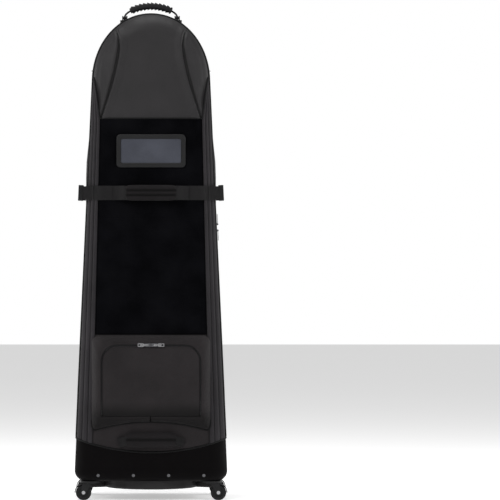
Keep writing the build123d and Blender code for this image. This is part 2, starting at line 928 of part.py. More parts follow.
half_pocket_zip = pocket_zip_width / 2
flap_foot = pocket_zip_foot + seam_gap
pocket_wall_solid = hollow(pocket_block(0), pocket_block(pocket_wall))
zip_layer = hollow(
    pocket_block(pocket_zip_inset), pocket_block(pocket_zip_inset + pocket_zip_thickness)
)

with BuildPart() as pocket_body:
    add(pocket_wall_solid)
    add(zip_line(half_pocket_zip, pocket_zip_foot), mode=Mode.SUBTRACT)
pocket_body.part.label = "pocket_body"
export_step(pocket_body.part, "parts/pocket_body.step")

with BuildPart() as pocket_zip:
    add(zip_layer)
    add(zip_line(half_pocket_zip, pocket_zip_foot), mode=Mode.INTERSECT)
    add(zip_line(seam_gap / 2, 0), mode=Mode.SUBTRACT)
pocket_zip.part.label = "pocket_zip"
export_step(pocket_zip.part, "parts/pocket_zip.step")

# The flap carries its own half of the zip, as a second solid.
with BuildPart() as pocket_flap:
    add(common(pocket_wall_solid, zip_line(-half_pocket_zip, flap_foot)))
    add(
        hollow(
            common(zip_layer, zip_line(-seam_gap / 2, flap_foot)),
            zip_line(seam_gap / 2 - half_pocket_zip, 0),
        )
    )
pocket_flap.part.label = "pocket_flap"
export_step(pocket_flap.part, "parts/pocket_flap.step")

# ---------------------------------------------------------------------------
# Sliders and pulls; each rides on its zip chain
# ---------------------------------------------------------------------------

pin_level = slider_lift + slider_thickness + pin_height
post_place = pull_width / 2 + pull_gap + post_thickness / 2


def zip_slider(seat):
    """A slider on a plane of its chain, with two posts and the pull's pin."""
    with BuildPart() as slider:
        with BuildSketch(seat.offset(slider_lift)):
            RectangleRounded(slider_length, slider_width, slider_round)
        extrude(amount=slider_thickness)
        with BuildSketch(seat.offset(slider_lift + slider_thickness)):
            with GridLocations(1, 2 * post_place, 1, 2):
                Rectangle(post_length, post_thickness)
        extrude(amount=pin_height + pull_pin_radius)
        with BuildSketch(Plane(origin=seat.origin + seat.z_dir * pin_level, z_dir=seat.y_dir)):
            Circle(pull_pin_radius)
        extrude(amount=post_place, both=True)
    return slider.part


def zip_pull(seat):
    """A flat tab with a lock hole that hangs on the slider's pin."""
    pin = Plane(origin=seat.origin + seat.z_dir * pin_level, x_dir=seat.x_dir, z_dir=seat.y_dir)
    with BuildPart() as pull:
        with BuildSketch(seat.offset(pin_level - pull_thickness / 2)):
            with Locations((pull_length / 2, 0)):
                Rectangle(pull_length, pull_width)
            with Locations((pull_length - tab_length / 2, 0)):
                RectangleRounded(tab_length, tab_width, slider_round)
            with Locations((pull_length - tab_width / 2, 0)):
                Circle(lock_hole_radius, mode=Mode.SUBTRACT)
        extrude(amount=pull_thickness)
        with BuildSketch(pin):
            Circle(pull_eye_radius)
        extrude(amount=pull_width / 2, both=True)
        with BuildSketch(pin):
            Circle(pull_pin_radius + pin_clearance)
        extrude(amount=pull_width / 2, both=True, mode=Mode.SUBTRACT)
    return pull.part


def side_up(height, way):
    """A plane on the right zip chain, X along the chain upwards or downwards."""
    along = Vector(-tan(side_lean), tan(lean), 1).normalized() * way
    return Plane(
        origin=(side_at(height) - zip_inset, front_at(height) + lid_depth, height),
        x_dir=along,
        z_dir=(cos(side_lean), 0, sin(side_lean)),
    )


def pocket_seat(side):
    """A plane on the pocket's zip beside its middle, X away from the middle."""
    seat = front_plane.offset(pocket_reach - pocket_zip_inset)
    spot = seat.from_local_coords((side * slider_spacing / 2, up_face(pocket_zip_head)))
    return Plane(origin=spot, x_dir=(side, 0, 0), z_dir=seat.z_dir)


slider_seats = {
    "main_slider_upper": side_up(main_meeting + slider_spacing / 2, 1),
    "main_slider_lower": side_up(main_meeting - slider_spacing / 2, -1),
    "pocket_slider_left": pocket_seat(-1),
    "pocket_slider_right": pocket_seat(1),
}
for name, seat in slider_seats.items():
    slider = zip_slider(seat)
    slider.label = name
    export_step(slider, "parts/" + name + ".step")
    pull_name = name.replace("slider", "pull")
    pull = zip_pull(seat)
    pull.label = pull_name
    export_step(pull, "parts/" + pull_name + ".step")

# ---------------------------------------------------------------------------
# Side-release buckles: made on the right, mirrored to the left
# ---------------------------------------------------------------------------

# X runs forwards along the wall from the zip, Z outwards.
buckle_seat = Plane(
    origin=(side_at(band_middle), front_at(band_middle) + lid_depth, band_middle),
    x_dir=(0, -1, 0),
    z_dir=(cos(side_lean), 0, sin(side_lean)),
)
# The same place in section: X forwards, Y outwards.
buckle_section = Plane(
    origin=buckle_seat.origin, x_dir=(0, -1, 0), z_dir=(-sin(side_lean), 0, cos(side_lean))
)
tongue_half = buckle_width / 2 - socket_wall - tongue_play
tongue_thickness = buckle_thickness - 2 * socket_wall - 2 * tongue_play
socket_middle = -socket_lip - socket_length / 2
cavity_length = tongue_length + tongue_play - socket_lip

with BuildPart() as right_socket:
    with BuildSketch(buckle_seat.offset(buckle_stand_off)):
        with Locations((socket_middle, 0)):
            RectangleRounded(socket_length, buckle_width, buckle_round)
        with Locations((-socket_lip - socket_length + 2 * buckle_bar, 0)):
            Rectangle(buckle_bar, side_strap_height, mode=Mode.SUBTRACT)
    extrude(amount=buckle_thickness)
    with BuildSketch(buckle_seat.offset(buckle_stand_off + socket_wall)):
        with Locations((-socket_lip - cavity_length / 2, 0)):
            Rectangle(cavity_length, buckle_width - 2 * socket_wall)
    extrude(amount=buckle_thickness - 2 * socket_wall, mode=Mode.SUBTRACT)
    with BuildSketch(buckle_seat.offset(buckle_stand_off + socket_wall)):
        with Locations((-socket_lip - cavity_length / 2, 0)):
            Rectangle(cavity_length / 2, buckle_width)
    extrude(amount=buckle_thickness - 2 * socket_wall, mode=Mode.SUBTRACT)

with BuildPart() as buckle_sockets:
    add(right_socket.part)
    mirror(right_socket.part, about=Plane.YZ)
buckle_sockets.part.label = "buckle_sockets"
export_step(buckle_sockets.part, "parts/buckle_sockets.step")

with BuildPart() as right_plug:
    with BuildSketch(buckle_seat.offset(buckle_stand_off)):
        with Locations((plug_length / 2, 0)):
            RectangleRounded(plug_length, buckle_width, buckle_round)
        with Locations((plug_length - 1.5 * buckle_bar, 0)):
            Rectangle(buckle_bar, side_strap_height, mode=Mode.SUBTRACT)
    extrude(amount=buckle_thickness)
    with BuildSketch(buckle_seat.offset(buckle_stand_off + socket_wall + tongue_play)):
        with Locations((-tongue_length / 2, 0)):
            Rectangle(tongue_length, 2 * tongue_half)
        for side in (-1, 1):
            with Locations((-tongue_length / 2, side * tongue_half / 2)):
                Rectangle(tongue_length - 2 * buckle_bar, buckle_bar, mode=Mode.SUBTRACT)
    extrude(amount=tongue_thickness)

for side, name in ((-1, "left"), (1, "right")):
    with BuildPart() as plug:
        if side > 0:
            add(right_plug.part)
        else:
            mirror(right_plug.part, about=Plane.YZ)
    plug.part.label = "buckle_plug_" + name
    export_step(plug.part, "parts/buckle_plug_" + name + ".step")

strap_level = buckle_stand_off + buckle_thickness / 2
strap_back = -socket_lip - socket_length
with BuildPart() as right_case_strap:
    with BuildSketch(buckle_section):
        with BuildLine():
            Polyline(
                (-side_strap_reach - side_strap_sewn, 0),
                (-side_strap_reach, 0),
                (strap_back, strap_level - strap_thickness),
                (strap_back, strap_level),
                (-side_strap_reach, strap_thickness),
                (-side_strap_reach - side_strap_sewn, strap_thickness),
                close=True,
            )
        make_face()
    extrude(amount=side_strap_height / 2, both=True)

with BuildPart() as case_straps:
    add(right_case_strap.part)
    mirror(right_case_strap.part, about=Plane.YZ)
case_straps.part.label = "case_straps"
export_step(case_straps.part, "parts/case_straps.step")

# The front strap runs from the plug's bar down to the band on the rounded edge.
band_round = corner_radius + band_thickness + strap_play
strap_turn = side_strap_front - lid_depth + corner_radius
strap_foot = sqrt(band_round**2 - strap_turn**2) - corner_radius
with BuildPart() as right_side_strap:
    with BuildSketch(buckle_section):
        with BuildLine():
            Polyline(
                (plug_length, strap_level - strap_thickness),
                (plug_length, strap_level),
                (side_strap_front + strap_thickness, strap_foot),
                (side_strap_front, strap_foot),
                close=True,
            )
        make_face()
    extrude(amount=side_strap_height / 2, both=True)

with BuildPart() as side_straps:
    add(right_side_strap.part)
    mirror(right_side_strap.part, about=Plane.YZ)
side_straps.part.label = "side_straps"
export_step(side_straps.part, "parts/side_straps.step")

# ---------------------------------------------------------------------------
# Top handle on the crown
# ---------------------------------------------------------------------------

ear_inside = top_eye_length / 2 + ear_gap
pivot_places = [(-top_pivot_x, centre_y), (top_pivot_x, centre_y)]

with BuildPart() as top_handle_feet:
    with BuildSketch(Plane.XY.offset(crown_start)):
        with Locations(*pivot_places):
            RectangleRounded(foot_pad_width, foot_pad_depth, grip_round)
    extrude(amount=foot_pad_head - crown_start)
    for x, y in pivot_places:
        for way in (-1, 1):
            ear_face = Plane(
                origin=(x + way * ear_inside, y, top_pivot_height), x_dir=(0, 1, 0), z_dir=(way, 0, 0)
            )
            with BuildSketch(ear_face):
                Circle(ear_radius)
                with Locations((0, -way * ear_radius)):
                    Rectangle(2 * ear_radius, 2 * ear_radius)
            extrude(amount=ear_thickness)
        with BuildSketch(Plane(origin=(x, y, top_pivot_height), x_dir=(0, 1, 0), z_dir=(1, 0, 0))):
            Circle(top_pivot_radius)
        extrude(amount=ear_inside, both=True)
    add(outer, mode=Mode.SUBTRACT)
top_handle_feet.part.label = "top_handle_feet"
export_step(top_handle_feet.part, "parts/top_handle_feet.step")


def grip_arch(thickness, depth):
    """A band of a given thickness and depth that follows the top grip's arch."""
    with BuildPart() as band:
        with BuildSketch(Plane.XZ.offset(-centre_y)):
            with BuildLine():
                arch = ThreePointArc(
                    (-top_grip_half_length, top_grip_end_height),
                    (0, top_grip_mid_height),
                    (top_grip_half_length, top_grip_end_height),
                )
            trace(arch, line_width=thickness)
        extrude(amount=depth / 2, both=True)
    return band.part


with BuildPart() as top_strap:
    add(grip_arch(top_strap_thickness, top_strap_width))
    with BuildSketch(Plane.XZ.offset(-centre_y)):
        for side in (-1, 1):
            with BuildLine() as leg:
                Polyline(
                    (side * (top_grip_half_length - top_strap_thickness), top_grip_end_height),
                    (side * top_pivot_x, top_pivot_height + ear_radius + top_strap_thickness),
                    (side * top_pivot_x, top_pivot_height),
                )
            trace(leg.line, line_width=top_strap_thickness)
    extrude(amount=top_strap_width / 2, both=True)
    for x, y in pivot_places:
        eye_face = Plane(origin=(x, y, top_pivot_height), x_dir=(0, 1, 0), z_dir=(1, 0, 0))
        with BuildSketch(eye_face):
            Circle(top_eye_radius)
        extrude(amount=top_eye_length / 2, both=True)
        with BuildSketch(eye_face):
            Rectangle(FAR, top_pivot_height - foot_pad_head)
            Circle(top_eye_radius, mode=Mode.SUBTRACT)
        extrude(amount=top_eye_length / 2, both=True, mode=Mode.SUBTRACT)
        with BuildSketch(eye_face):
            Circle(top_pivot_radius + pin_clearance)
        extrude(amount=top_eye_length, both=True, mode=Mode.SUBTRACT)
top_strap.part.label = "top_strap"
export_step(top_strap.part, "parts/top_strap.step")

with BuildPart() as top_grip:
    add(grip_arch(top_grip_thickness, top_grip_depth))
    add(
        grip_arch(top_strap_thickness + strap_play, top_strap_width + strap_play),
        mode=Mode.SUBTRACT,
    )
    add(top_strap.part, mode=Mode.SUBTRACT)
top_grip.part.label = "top_grip"
export_step(top_grip.part, "parts/top_grip.step")

# ---------------------------------------------------------------------------
# Inner straps, sewn across the back with a buckle in the middle
# ---------------------------------------------------------------------------

with BuildPart() as inner_straps:
    for height in inner_strap_heights:
        with BuildSketch(back_plane):
            with Locations((0, up_face(height))):
                Rectangle(2 * (side_at(height) - corner_radius), inner_strap_width)
        extrude(amount=strap_thickness)
        with BuildSketch(back_plane.offset(strap_thickness + strap_play)):
            with Locations((0, up_face(height))):
                RectangleRounded(inner_buckle_width, inner_buckle_height, buckle_round)
        extrude(amount=inner_buckle_thickness)
inner_straps.part.label = "inner_straps"
export_step(inner_straps.part, "parts/inner_straps.step")
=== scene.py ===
"""Upright soft-sided golf travel case on swivel casters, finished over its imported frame.

Every surface is worked out from the case's own envelope: two leaning faces, two leaning sides and
a rounded crown, with one edge radius all round. All lengths are in metres.
"""

import math

import bmesh
import bpy
import numpy as np
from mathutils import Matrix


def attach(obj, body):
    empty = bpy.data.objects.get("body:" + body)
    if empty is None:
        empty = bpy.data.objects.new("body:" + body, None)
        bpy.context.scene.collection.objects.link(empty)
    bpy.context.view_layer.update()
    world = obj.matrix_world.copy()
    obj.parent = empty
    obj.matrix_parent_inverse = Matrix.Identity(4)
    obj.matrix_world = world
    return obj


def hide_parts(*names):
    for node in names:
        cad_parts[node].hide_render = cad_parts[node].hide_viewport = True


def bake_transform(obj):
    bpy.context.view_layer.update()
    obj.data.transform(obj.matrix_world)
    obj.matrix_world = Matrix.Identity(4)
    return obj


bl_info = {
    "name": "Golf travel case",
    "version": (1, 0, 0),
    "blender": (4, 5, 0),
    "location": "View3D > Sidebar > Travel Case",
    "description": "Builds the soft shell, pocket, grips, webbing and finishes of a golf travel case",
    "category": "Object",
}

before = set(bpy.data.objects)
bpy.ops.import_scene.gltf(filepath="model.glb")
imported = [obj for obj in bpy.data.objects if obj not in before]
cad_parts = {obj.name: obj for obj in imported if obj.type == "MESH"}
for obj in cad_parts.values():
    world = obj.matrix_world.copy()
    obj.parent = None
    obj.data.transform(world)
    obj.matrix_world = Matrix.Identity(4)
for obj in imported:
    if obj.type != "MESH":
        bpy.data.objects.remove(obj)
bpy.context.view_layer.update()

# ---------------------------------------------------------------------------
# Envelope of the case
# ---------------------------------------------------------------------------

# Whole case: its heights, half widths, faces, leans and roundings
FLOOR_GAP = 0.050
CROWN_TOP = 1.250
CROWN_START = 1.085
CROWN_FULL = 0.55
CROWN_HALF = 0.150
BASE_HALF = 0.197
FRONT_Y = -0.141
REAR_Y = 0.157
MIDDLE_Y = 0.008
LEAN = 0.034 / 1.200
SIDE_LEAN = 0.047 / 1.035
EDGE = 0.045
FOOT = 0.028
WALL = 0.008
BACK_SEAM = 0.054

# Zip and piping, and the lid's lower seam
ZIP_DEPTH = 0.042
HALF_ZIP = 0.006
PIPE = 0.0025
SEAM_LOW = 0.1255
SEAM_SIDE = 0.162
SEAM_RADIUS = (BASE_HALF**2 + (SEAM_SIDE - SEAM_LOW) ** 2) / (2 * (SEAM_SIDE - SEAM_LOW))
SEAM_CLEAR = PIPE + 0.0004
TAPE_THICK = 0.0012
STITCH_LONG = 0.0042
STITCH_WIDE = 0.0010

# Hood, panel and border of the lid
HOOD_FOOT = 0.979
HOOD_HALF = 0.131
HOOD_SHOULDER = 1.110
HOOD_MARGIN = 0.0009
PANEL_HALF = 0.152
BORDER_START = SEAM_SIDE - 0.002
BORDER_END = 1.096

# Shoe pocket, its flap and the seat of its zip below the cloth
POCKET_HALF = 0.152
POCKET_FOOT = 0.195
POCKET_HEAD = 0.422
POCKET_REACH = 0.030
FLAP_HALF = 0.1242
FLAP_FOOT = 0.2184
FLAP_HEAD = 0.3972
FLAP_ROUND = 0.0402
ZIP_SEAT = 0.0016

# Band, buckles and padded grips; OFF is a distance off the lid, AHEAD one in front of the zip
BAND_Z = 0.788
BAND_HEIGHT = 0.037
BUCKLE_OFF = 0.011 + 0.006
PLUG_AHEAD = 0.017
STRAP_AHEAD = 0.0365
GRIP_HALF = 0.064
MIDDLE_GRIP_HALF = 0.0200
MIDDLE_GRIP_OFF = 0.0225
LOWER_GRIP_HALF = 0.0190
LOWER_GRIP_OFF = 0.017
LOWER_GRIP_ROWS = 2
LOWER_GRIP_Z = 0.158

# Top handle: the grip's and the core's half lengths, the arch's sag and top, and the pins
HANDLE_HALF = 0.054
HANDLE_CORE = 0.0535
HANDLE_SAG = 0.0125
HANDLE_TOP = 1.2745
HANDLE_PIN_X = 0.068

# Skirt and the gaps in it for the rear wheels
SKIRT_LEVEL = 0.15
SKIRT_WALL = 0.006
WHEEL_GAP_X = 0.082
WHEEL_GAP_Y = 0.10
WHEEL_GAP_HALF = 0.0165
WHEEL_GAP_TOP = 0.0685

# Straps across the inside
INNER_STRAPS = (0.420, 0.860)
INNER_RING_OFF = 0.0050

# Stage and camera
FLOOR_HALF = 14.0
ROOM_LIGHT = 0.26
LENS = 240
SENSOR = 36
VIEW_HEIGHT = 1.29

# The middle of the case and the three directions
CENTRE = np.array([0.0, MIDDLE_Y, 0.60])
ACROSS = np.array([1.0, 0.0, 0.0])
DEEP = np.array([0.0, 1.0, 0.0])
UPRIGHT = np.array([0.0, 0.0, 1.0])


def front_at(z):
    """Y of the front face at height z; the face leans back evenly with height."""
    return FRONT_Y + (z - FLOOR_GAP) * LEAN


def rear_at(z):
    """Y of the rear face at height z; the face leans forwards evenly with height."""
    return REAR_Y - (z - FLOOR_GAP) * LEAN


def side_at(z):
    """Half width of the case at height z below the crown; the walls lean in evenly."""
    return BASE_HALF - (z - FLOOR_GAP) * SIDE_LEAN


def seam_at(x):
    """Height of the lid's lower seam: a circle's arc, lowest in the middle of the width."""
    reach = np.minimum(np.abs(x), BASE_HALF)
    return SEAM_LOW + SEAM_RADIUS - np.sqrt(SEAM_RADIUS**2 - reach**2)


def panel_half(z):
    """Half width of the loop panel: it narrows evenly from the base plate to the hood."""
    share = (z - FLOOR_GAP) / (HOOD_FOOT - FLOOR_GAP)
    return PANEL_HALF + share * (HOOD_HALF - PANEL_HALF)


def along(path):
    """Distance along a row of points from its start: a running sum of the steps."""
    steps = np.linalg.norm(np.diff(path, axis=0), axis=1)
    return np.concatenate([[0.0], np.cumsum(steps)])


def even(path, count):
    """The same line with its points evenly spaced along its length."""
    run = along(path)
    places = np.linspace(0, run[-1], count)
    return np.stack([np.interp(places, run, path[:, k]) for k in range(path.shape[1])], 1)


def outline(start, count):
    """Edge seen from the front, up the right wall from start, over the crown and down the left.

    The wall is a straight line. The crown is a cubic curve that leaves it along the same line and
    ends level in the middle. Returns XZ points evenly spaced along it and their outward normals.
    """
    t = np.linspace(0, 1, 300)[:, None]
    foot = np.array([BASE_HALF, FLOOR_GAP])
    knee = np.array([CROWN_HALF, CROWN_START])
    way = (knee - foot) / np.linalg.norm(knee - foot)
    pull = knee + way * (CROWN_TOP - CROWN_START) * CROWN_FULL
    over = np.array([CROWN_HALF * CROWN_FULL, CROWN_TOP])
    top = np.array([0.0, CROWN_TOP])
    right = (1 - t) ** 3 * knee + 3 * (1 - t) ** 2 * t * pull + 3 * (1 - t) * t**2 * over + t**3 * top
    if start < CROWN_START:
        low = np.array([side_at(start), start])
        right = np.vstack([low + (knee - low) * t[:-1], right])
    path = even(np.vstack([right, right[-2::-1] * [-1, 1]]), count)
    step = np.gradient(path, axis=0)
    step /= np.linalg.norm(step, axis=1, keepdims=True)
    return path, np.stack([step[:, 1], -step[:, 0]], 1)


EDGE_LINE, EDGE_NORMAL = outline(FLOOR_GAP, 1000)


def inset_of(x, z):
    """How far a point seen from the front lies inside the edge.

    The nearest sample of the edge is found, and the distance is measured along its normal.
    """
    flat = np.stack([np.ravel(x), np.ravel(z)], 1)
    inside = np.empty(len(flat))
    for part in np.array_split(np.arange(len(flat)), max(1, len(flat) // 4000)):
        gap = EDGE_LINE[None, :, :] - flat[part, None, :]
        pick = (gap**2).sum(2).argmin(1)
        inside[part] = (gap[np.arange(len(part)), pick] * EDGE_NORMAL[pick]).sum(1)
    return np.maximum(inside, 0.0).reshape(np.shape(x))


def round_off(inset):
    """How far the rounded edge falls back at an inset: a quarter circle of the edge's radius."""
    rest = np.clip(EDGE - inset, 0, EDGE)
    return EDGE - np.sqrt(EDGE**2 - rest**2)


def front_skin(x, z, lift=0.0):
    """Points on the front face and its rounded edge, lifted forwards."""
    y = front_at(z) + round_off(inset_of(x, z)) - lift
    return np.stack([x, y, z], -1)


def rim_skin(path, normal, inset, depth):
    """Points at an inset from the edge seen from the front and a depth behind the front face."""
    x = path[..., 0] - normal[..., 0] * inset
    z = path[..., 1] - normal[..., 1] * inset
    return np.stack(np.broadcast_arrays(x, front_at(z) + depth, z), -1)


def smooth(t):
    """Ease from 0 to 1: three t squared less two t cubed."""
    t = np.clip(t, 0, 1)
    return t * t * (3 - 2 * t)


# ---------------------------------------------------------------------------
# Meshes
# ---------------------------------------------------------------------------


def normals_of(grid, centre=CENTRE):
    """Unit normals of a grid of points: the cross product of its two steps, turned away from a centre."""
    cross = np.cross(np.gradient(grid, axis=0), np.gradient(grid, axis=1))
    size = np.linalg.norm(cross, axis=-1, keepdims=True)
    unit = np.where(size > 1e-12, cross / np.maximum(size, 1e-12), 0.0)
    if (unit * (grid - centre)).sum() < 0:
        unit = -unit
    return unit


def lengths_of(grid):
    """Distance along both ways of a grid, as two numbers for each point."""
    down = np.linalg.norm(np.diff(grid, axis=0), axis=-1).cumsum(0)
    across = np.linalg.norm(np.diff(grid, axis=1), axis=-1).cumsum(1)
    down = np.vstack([np.zeros((1, grid.shape[1])), down])
    across = np.hstack([np.zeros((grid.shape[0], 1)), across])
    return np.stack([across, down], -1)


def cells_of(rows, columns, wrap=False):
    """Quads between neighbouring points of a grid, row by row; wrap joins the last column to the first."""
    ids = np.arange(rows * columns).reshape(rows, columns)
    if wrap:
        ids = np.hstack([ids, ids[:, :1]])
    corners = (ids[:-1, :-1], ids[1:, :-1], ids[1:, 1:], ids[:-1, 1:])
    return np.stack(corners, -1).reshape(-1, 4)


def shell(outer, inner, keep=None, wrap=False):
    """Closed wall between two grids.

    Every kept cell is laid on both grids, and each edge that only one kept cell has gets a strip
    across the wall. Returns points, faces, which faces lie inside, and lengths for the pattern.
    """
    rows, columns = outer.shape[:2]
    cells = cells_of(rows, columns, wrap)
    if keep is not None:
        cells = cells[np.ravel(keep)]
    count = rows * columns
    edges = np.stack([cells, np.roll(cells, -1, 1)], -1).reshape(-1, 2)
    _, first, times = np.unique(np.sort(edges, 1), axis=0, return_index=True, return_counts=True)
    rim = edges[first[times == 1]]
    strips = np.stack([rim[:, 1], rim[:, 0], rim[:, 0] + count, rim[:, 1] + count], 1)
    points = np.vstack([outer.reshape(-1, 3), inner.reshape(-1, 3)])
    faces = np.vstack([cells, cells[:, ::-1] + count, strips])
    inside = np.concatenate([np.zeros(len(cells)), np.ones(len(cells)), np.zeros(len(strips))])
    uv = lengths_of(outer).reshape(-1, 2)
    return points, faces, inside.astype(int), np.vstack([uv, uv])


def sweep(path, side, profile, closed=False):
    """A profile carried along a path.

    profile holds (across, up) pairs. Across lies along side, and up is square to side and the path.
    """
    step = np.roll(path, -1, 0) - np.roll(path, 1, 0) if closed else np.gradient(path, axis=0)
    step = step / np.linalg.norm(step, axis=1, keepdims=True)
    side = np.broadcast_to(side, path.shape)
    side = side - (side * step).sum(1, keepdims=True) * step
    side = side / np.linalg.norm(side, axis=1, keepdims=True)
    up = np.cross(step, side)
    across = profile[None, :, 0, None] * side[:, None, :]
    return path[:, None, :] + across + profile[None, :, 1, None] * up[:, None, :]


def circle(radius, sides=10):
    """Points round a circle, as cosine and sine of even angles."""
    turn = np.linspace(0, 2 * np.pi, sides, endpoint=False)
    return radius * np.stack([np.cos(turn), np.sin(turn)], 1)


def tube(path, side, radius, closed=False, sides=10):
    """A round cord along a path, with both ends closed by a point in their middle."""
    rings = sweep(path, side, circle(radius, sides), closed)
    if closed:
        rings = np.concatenate([rings, rings[:1]])
    else:
        first = np.repeat(rings[:1].mean(1, keepdims=True), sides, 1)
        last = np.repeat(rings[-1:].mean(1, keepdims=True), sides, 1)
        rings = np.concatenate([first, rings, last])
    faces = cells_of(rings.shape[0], sides, wrap=True)
    return rings.reshape(-1, 3), faces, np.zeros(len(faces), int), lengths_of(rings).reshape(-1, 2)


def ribbon(path, side, width, thickness, across=7):
    """Webbing along a path: two grids a thickness apart, thinner at its woven edges.

    The thickness falls by a third over the outer tenth of the width.
    """
    c = np.sin(np.linspace(-0.5, 0.5, across) * np.pi)
    swell = thickness / 2 * (1 - 0.35 * np.abs(c) ** 8)
    top = sweep(path, side, np.stack([c * width / 2, swell], 1))
    low = sweep(path, side, np.stack([c * width / 2, -swell], 1))
    return shell(top, low)


def pad(half_length, half_height, half_thick, ribs=1, rib_depth=0.18, bow=None, rows=60, around=48):
    """A stuffed grip along X.

    A section is a rounded oblong whose thickness swells in each rib as the size of a cosine across
    its height. Sections shrink to a point at both ends by the eighth root of one less the eighth
    power of the distance along. bow lifts each section by a height that depends on x.
    """
    t = np.linspace(-np.pi / 2, np.pi / 2, rows)
    u = np.sin(t)
    close = np.power(np.clip(1 - np.abs(u) ** 8, 0, 1), 1 / 8)
    turn = np.linspace(0, 2 * np.pi, around, endpoint=False)
    high = np.sign(np.cos(turn)) * np.abs(np.cos(turn)) ** 0.55
    deep = np.sign(np.sin(turn)) * np.abs(np.sin(turn)) ** 0.65
    swell = 1 - rib_depth + rib_depth * np.abs(np.cos(np.pi * ribs * (high + 1) / 2 - np.pi / 2))
    x = half_length * u[:, None] * np.ones(around)
    z = half_height * high * (0.25 + 0.75 * close[:, None])
    y = half_thick * deep * swell * close[:, None]
    z[[0, -1]] = 0
    rings = np.stack([x, y, z], -1)
    if bow is not None:
        rings[..., 2] += bow(rings[..., 0])
    faces = cells_of(rows, around, wrap=True)
    return rings.reshape(-1, 3), faces, np.zeros(len(faces), int), lengths_of(rings).reshape(-1, 2)


def bead(length, width, height):
    """A small closed bead: three rings of six points and a point at each end."""
    points = [[-length / 2, 0, 0]]
    for u, scale in ((-0.32, 0.85), (0.0, 1.0), (0.32, 0.85)):
        ring = circle(scale / 2, 6)
        points += [[u * length, width * a, height * b] for a, b in ring]
    points.append([length / 2, 0, 0])
    near = [[0, 1 + (k + 1) % 6, 1 + k, 1 + k] for k in range(6)]
    far = [[19, 13 + k, 13 + (k + 1) % 6, 13 + (k + 1) % 6] for k in range(6)]
    belt = [
        [1 + 6 * r + k, 1 + 6 * r + (k + 1) % 6, 7 + 6 * r + (k + 1) % 6, 7 + 6 * r + k]
        for r in range(2)
        for k in range(6)
    ]
    return np.array(points), np.array(near + far + belt)


def beads_along(path, side, shape, pitch, turn=0.0, offset=0.0, start=0.0):
    """One bead every pitch along a path, turned about its up axis and shifted to the side."""
    points, cells = shape
    run = along(path)
    places = np.arange(start, run[-1], pitch)
    spot = np.stack([np.interp(places, run, path[:, k]) for k in range(3)], 1)
    step = np.gradient(path, axis=0)
    step = np.stack([np.interp(places, run, step[:, k]) for k in range(3)], 1)
    step /= np.linalg.norm(step, axis=1, keepdims=True)
    side = np.broadcast_to(side, path.shape)
    side = np.stack([np.interp(places, run, side[:, k]) for k in range(3)], 1)
    side -= (side * step).sum(1, keepdims=True) * step
    side /= np.linalg.norm(side, axis=1, keepdims=True)
    up = np.cross(step, side)
    ahead = step * math.cos(turn) + side * math.sin(turn)
    beside = side * math.cos(turn) - step * math.sin(turn)
    placed = (
        spot[:, None, :]
        + offset * side[:, None, :]
        + points[None, :, 0, None] * ahead[:, None, :]
        + points[None, :, 1, None] * beside[:, None, :]
        + points[None, :, 2, None] * up[:, None, :]
    )
    shifts = (np.arange(len(places)) * len(points))[:, None, None]
    faces = (cells[None] + shifts).reshape(-1, 4)
    placed = placed.reshape(-1, 3)
    return placed, faces, np.zeros(len(faces), int), placed[:, [0, 2]]


def joined(*parts):
    """Several sets of points and faces as one."""
    shift = np.cumsum([0] + [len(part[0]) for part in parts[:-1]])
    points = np.vstack([part[0] for part in parts])
    faces = np.vstack([part[1] + move for part, move in zip(parts, shift)])
    return points, faces, np.concatenate([p[2] for p in parts]), np.vstack([p[3] for p in parts])


def outer_only(painted_shade):
    """Painted shade of a walled piece's creases: that of its outer points, and none on its inner points."""
    return np.concatenate([painted_shade.ravel(), 0 * painted_shade.ravel()])


def with_finish(part, index):
    """The same part with all its faces on one of the piece's finishes."""
    return part[0], part[1], np.full(len(part[1]), index), part[3]


def mirrored(part):
    """The same part on the other side of the case."""
    return part[0] * [-1, 1, 1], part[1][:, ::-1], part[2], part[3]


def piece(name, part, body, materials, replaced=(), sharp=38.0, crease=None):
    """Puts a part's points and faces into a mesh that rides on a body.

    Points that meet are merged and faces of a closed wall are turned outwards. crease is how deep
    in a fold, seam or groove each point lies, from 0 to 1, and the finishes darken by it as painted shade.
    """
    points, faces, index, uv = part
    mesh = bpy.data.meshes.new(name)
    mesh.from_pydata(points.tolist(), [], [list(dict.fromkeys(face)) for face in faces.tolist()])
    layer = mesh.uv_layers.new(name="cloth")
    corner = np.empty(len(mesh.loops), np.int32)
    mesh.loops.foreach_get("vertex_index", corner)
    layer.data.foreach_set("uv", uv[corner].astype(np.float32).ravel())
    if crease is not None:
        # Painted shade: the crease attribute marks folds, seams, grooves and undersides, and the finishes
        # darken there.
        painted_shade = mesh.attributes.new("crease", "FLOAT", "POINT")
        painted_shade.data.foreach_set("value", np.clip(crease, 0, 1).astype(np.float32))
    for material in materials:
        mesh.materials.append(material)
    if len(materials) > 1:
        mesh.polygons.foreach_set("material_index", index.astype(np.int32))
    work = bmesh.new()
    work.from_mesh(mesh)
    bmesh.ops.remove_doubles(work, verts=work.verts, dist=1e-6)
    bmesh.ops.dissolve_degenerate(work, dist=1e-7, edges=work.edges)
    bmesh.ops.recalc_face_normals(work, faces=work.faces)
    work.to_mesh(mesh)
    work.free()
    mesh.shade_smooth()
    mesh.set_sharp_from_angle(angle=math.radians(sharp))
    obj = bpy.data.objects.new(name, mesh)
    bpy.context.scene.collection.objects.link(obj)
    if body is not None:
        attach(obj, body)
    if replaced:
        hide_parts(*replaced)
    return obj


# ---------------------------------------------------------------------------
# Finishes
# ---------------------------------------------------------------------------


def node(tree, kind, **values):
    """Adds a node; a value goes to the socket of that name, or else to the node's own setting."""
    made = tree.nodes.new(kind)
    for key, value in values.items():
        if key in made.inputs:
            made.inputs[key].default_value = value
        else:
            setattr(made, key, value)
    return made


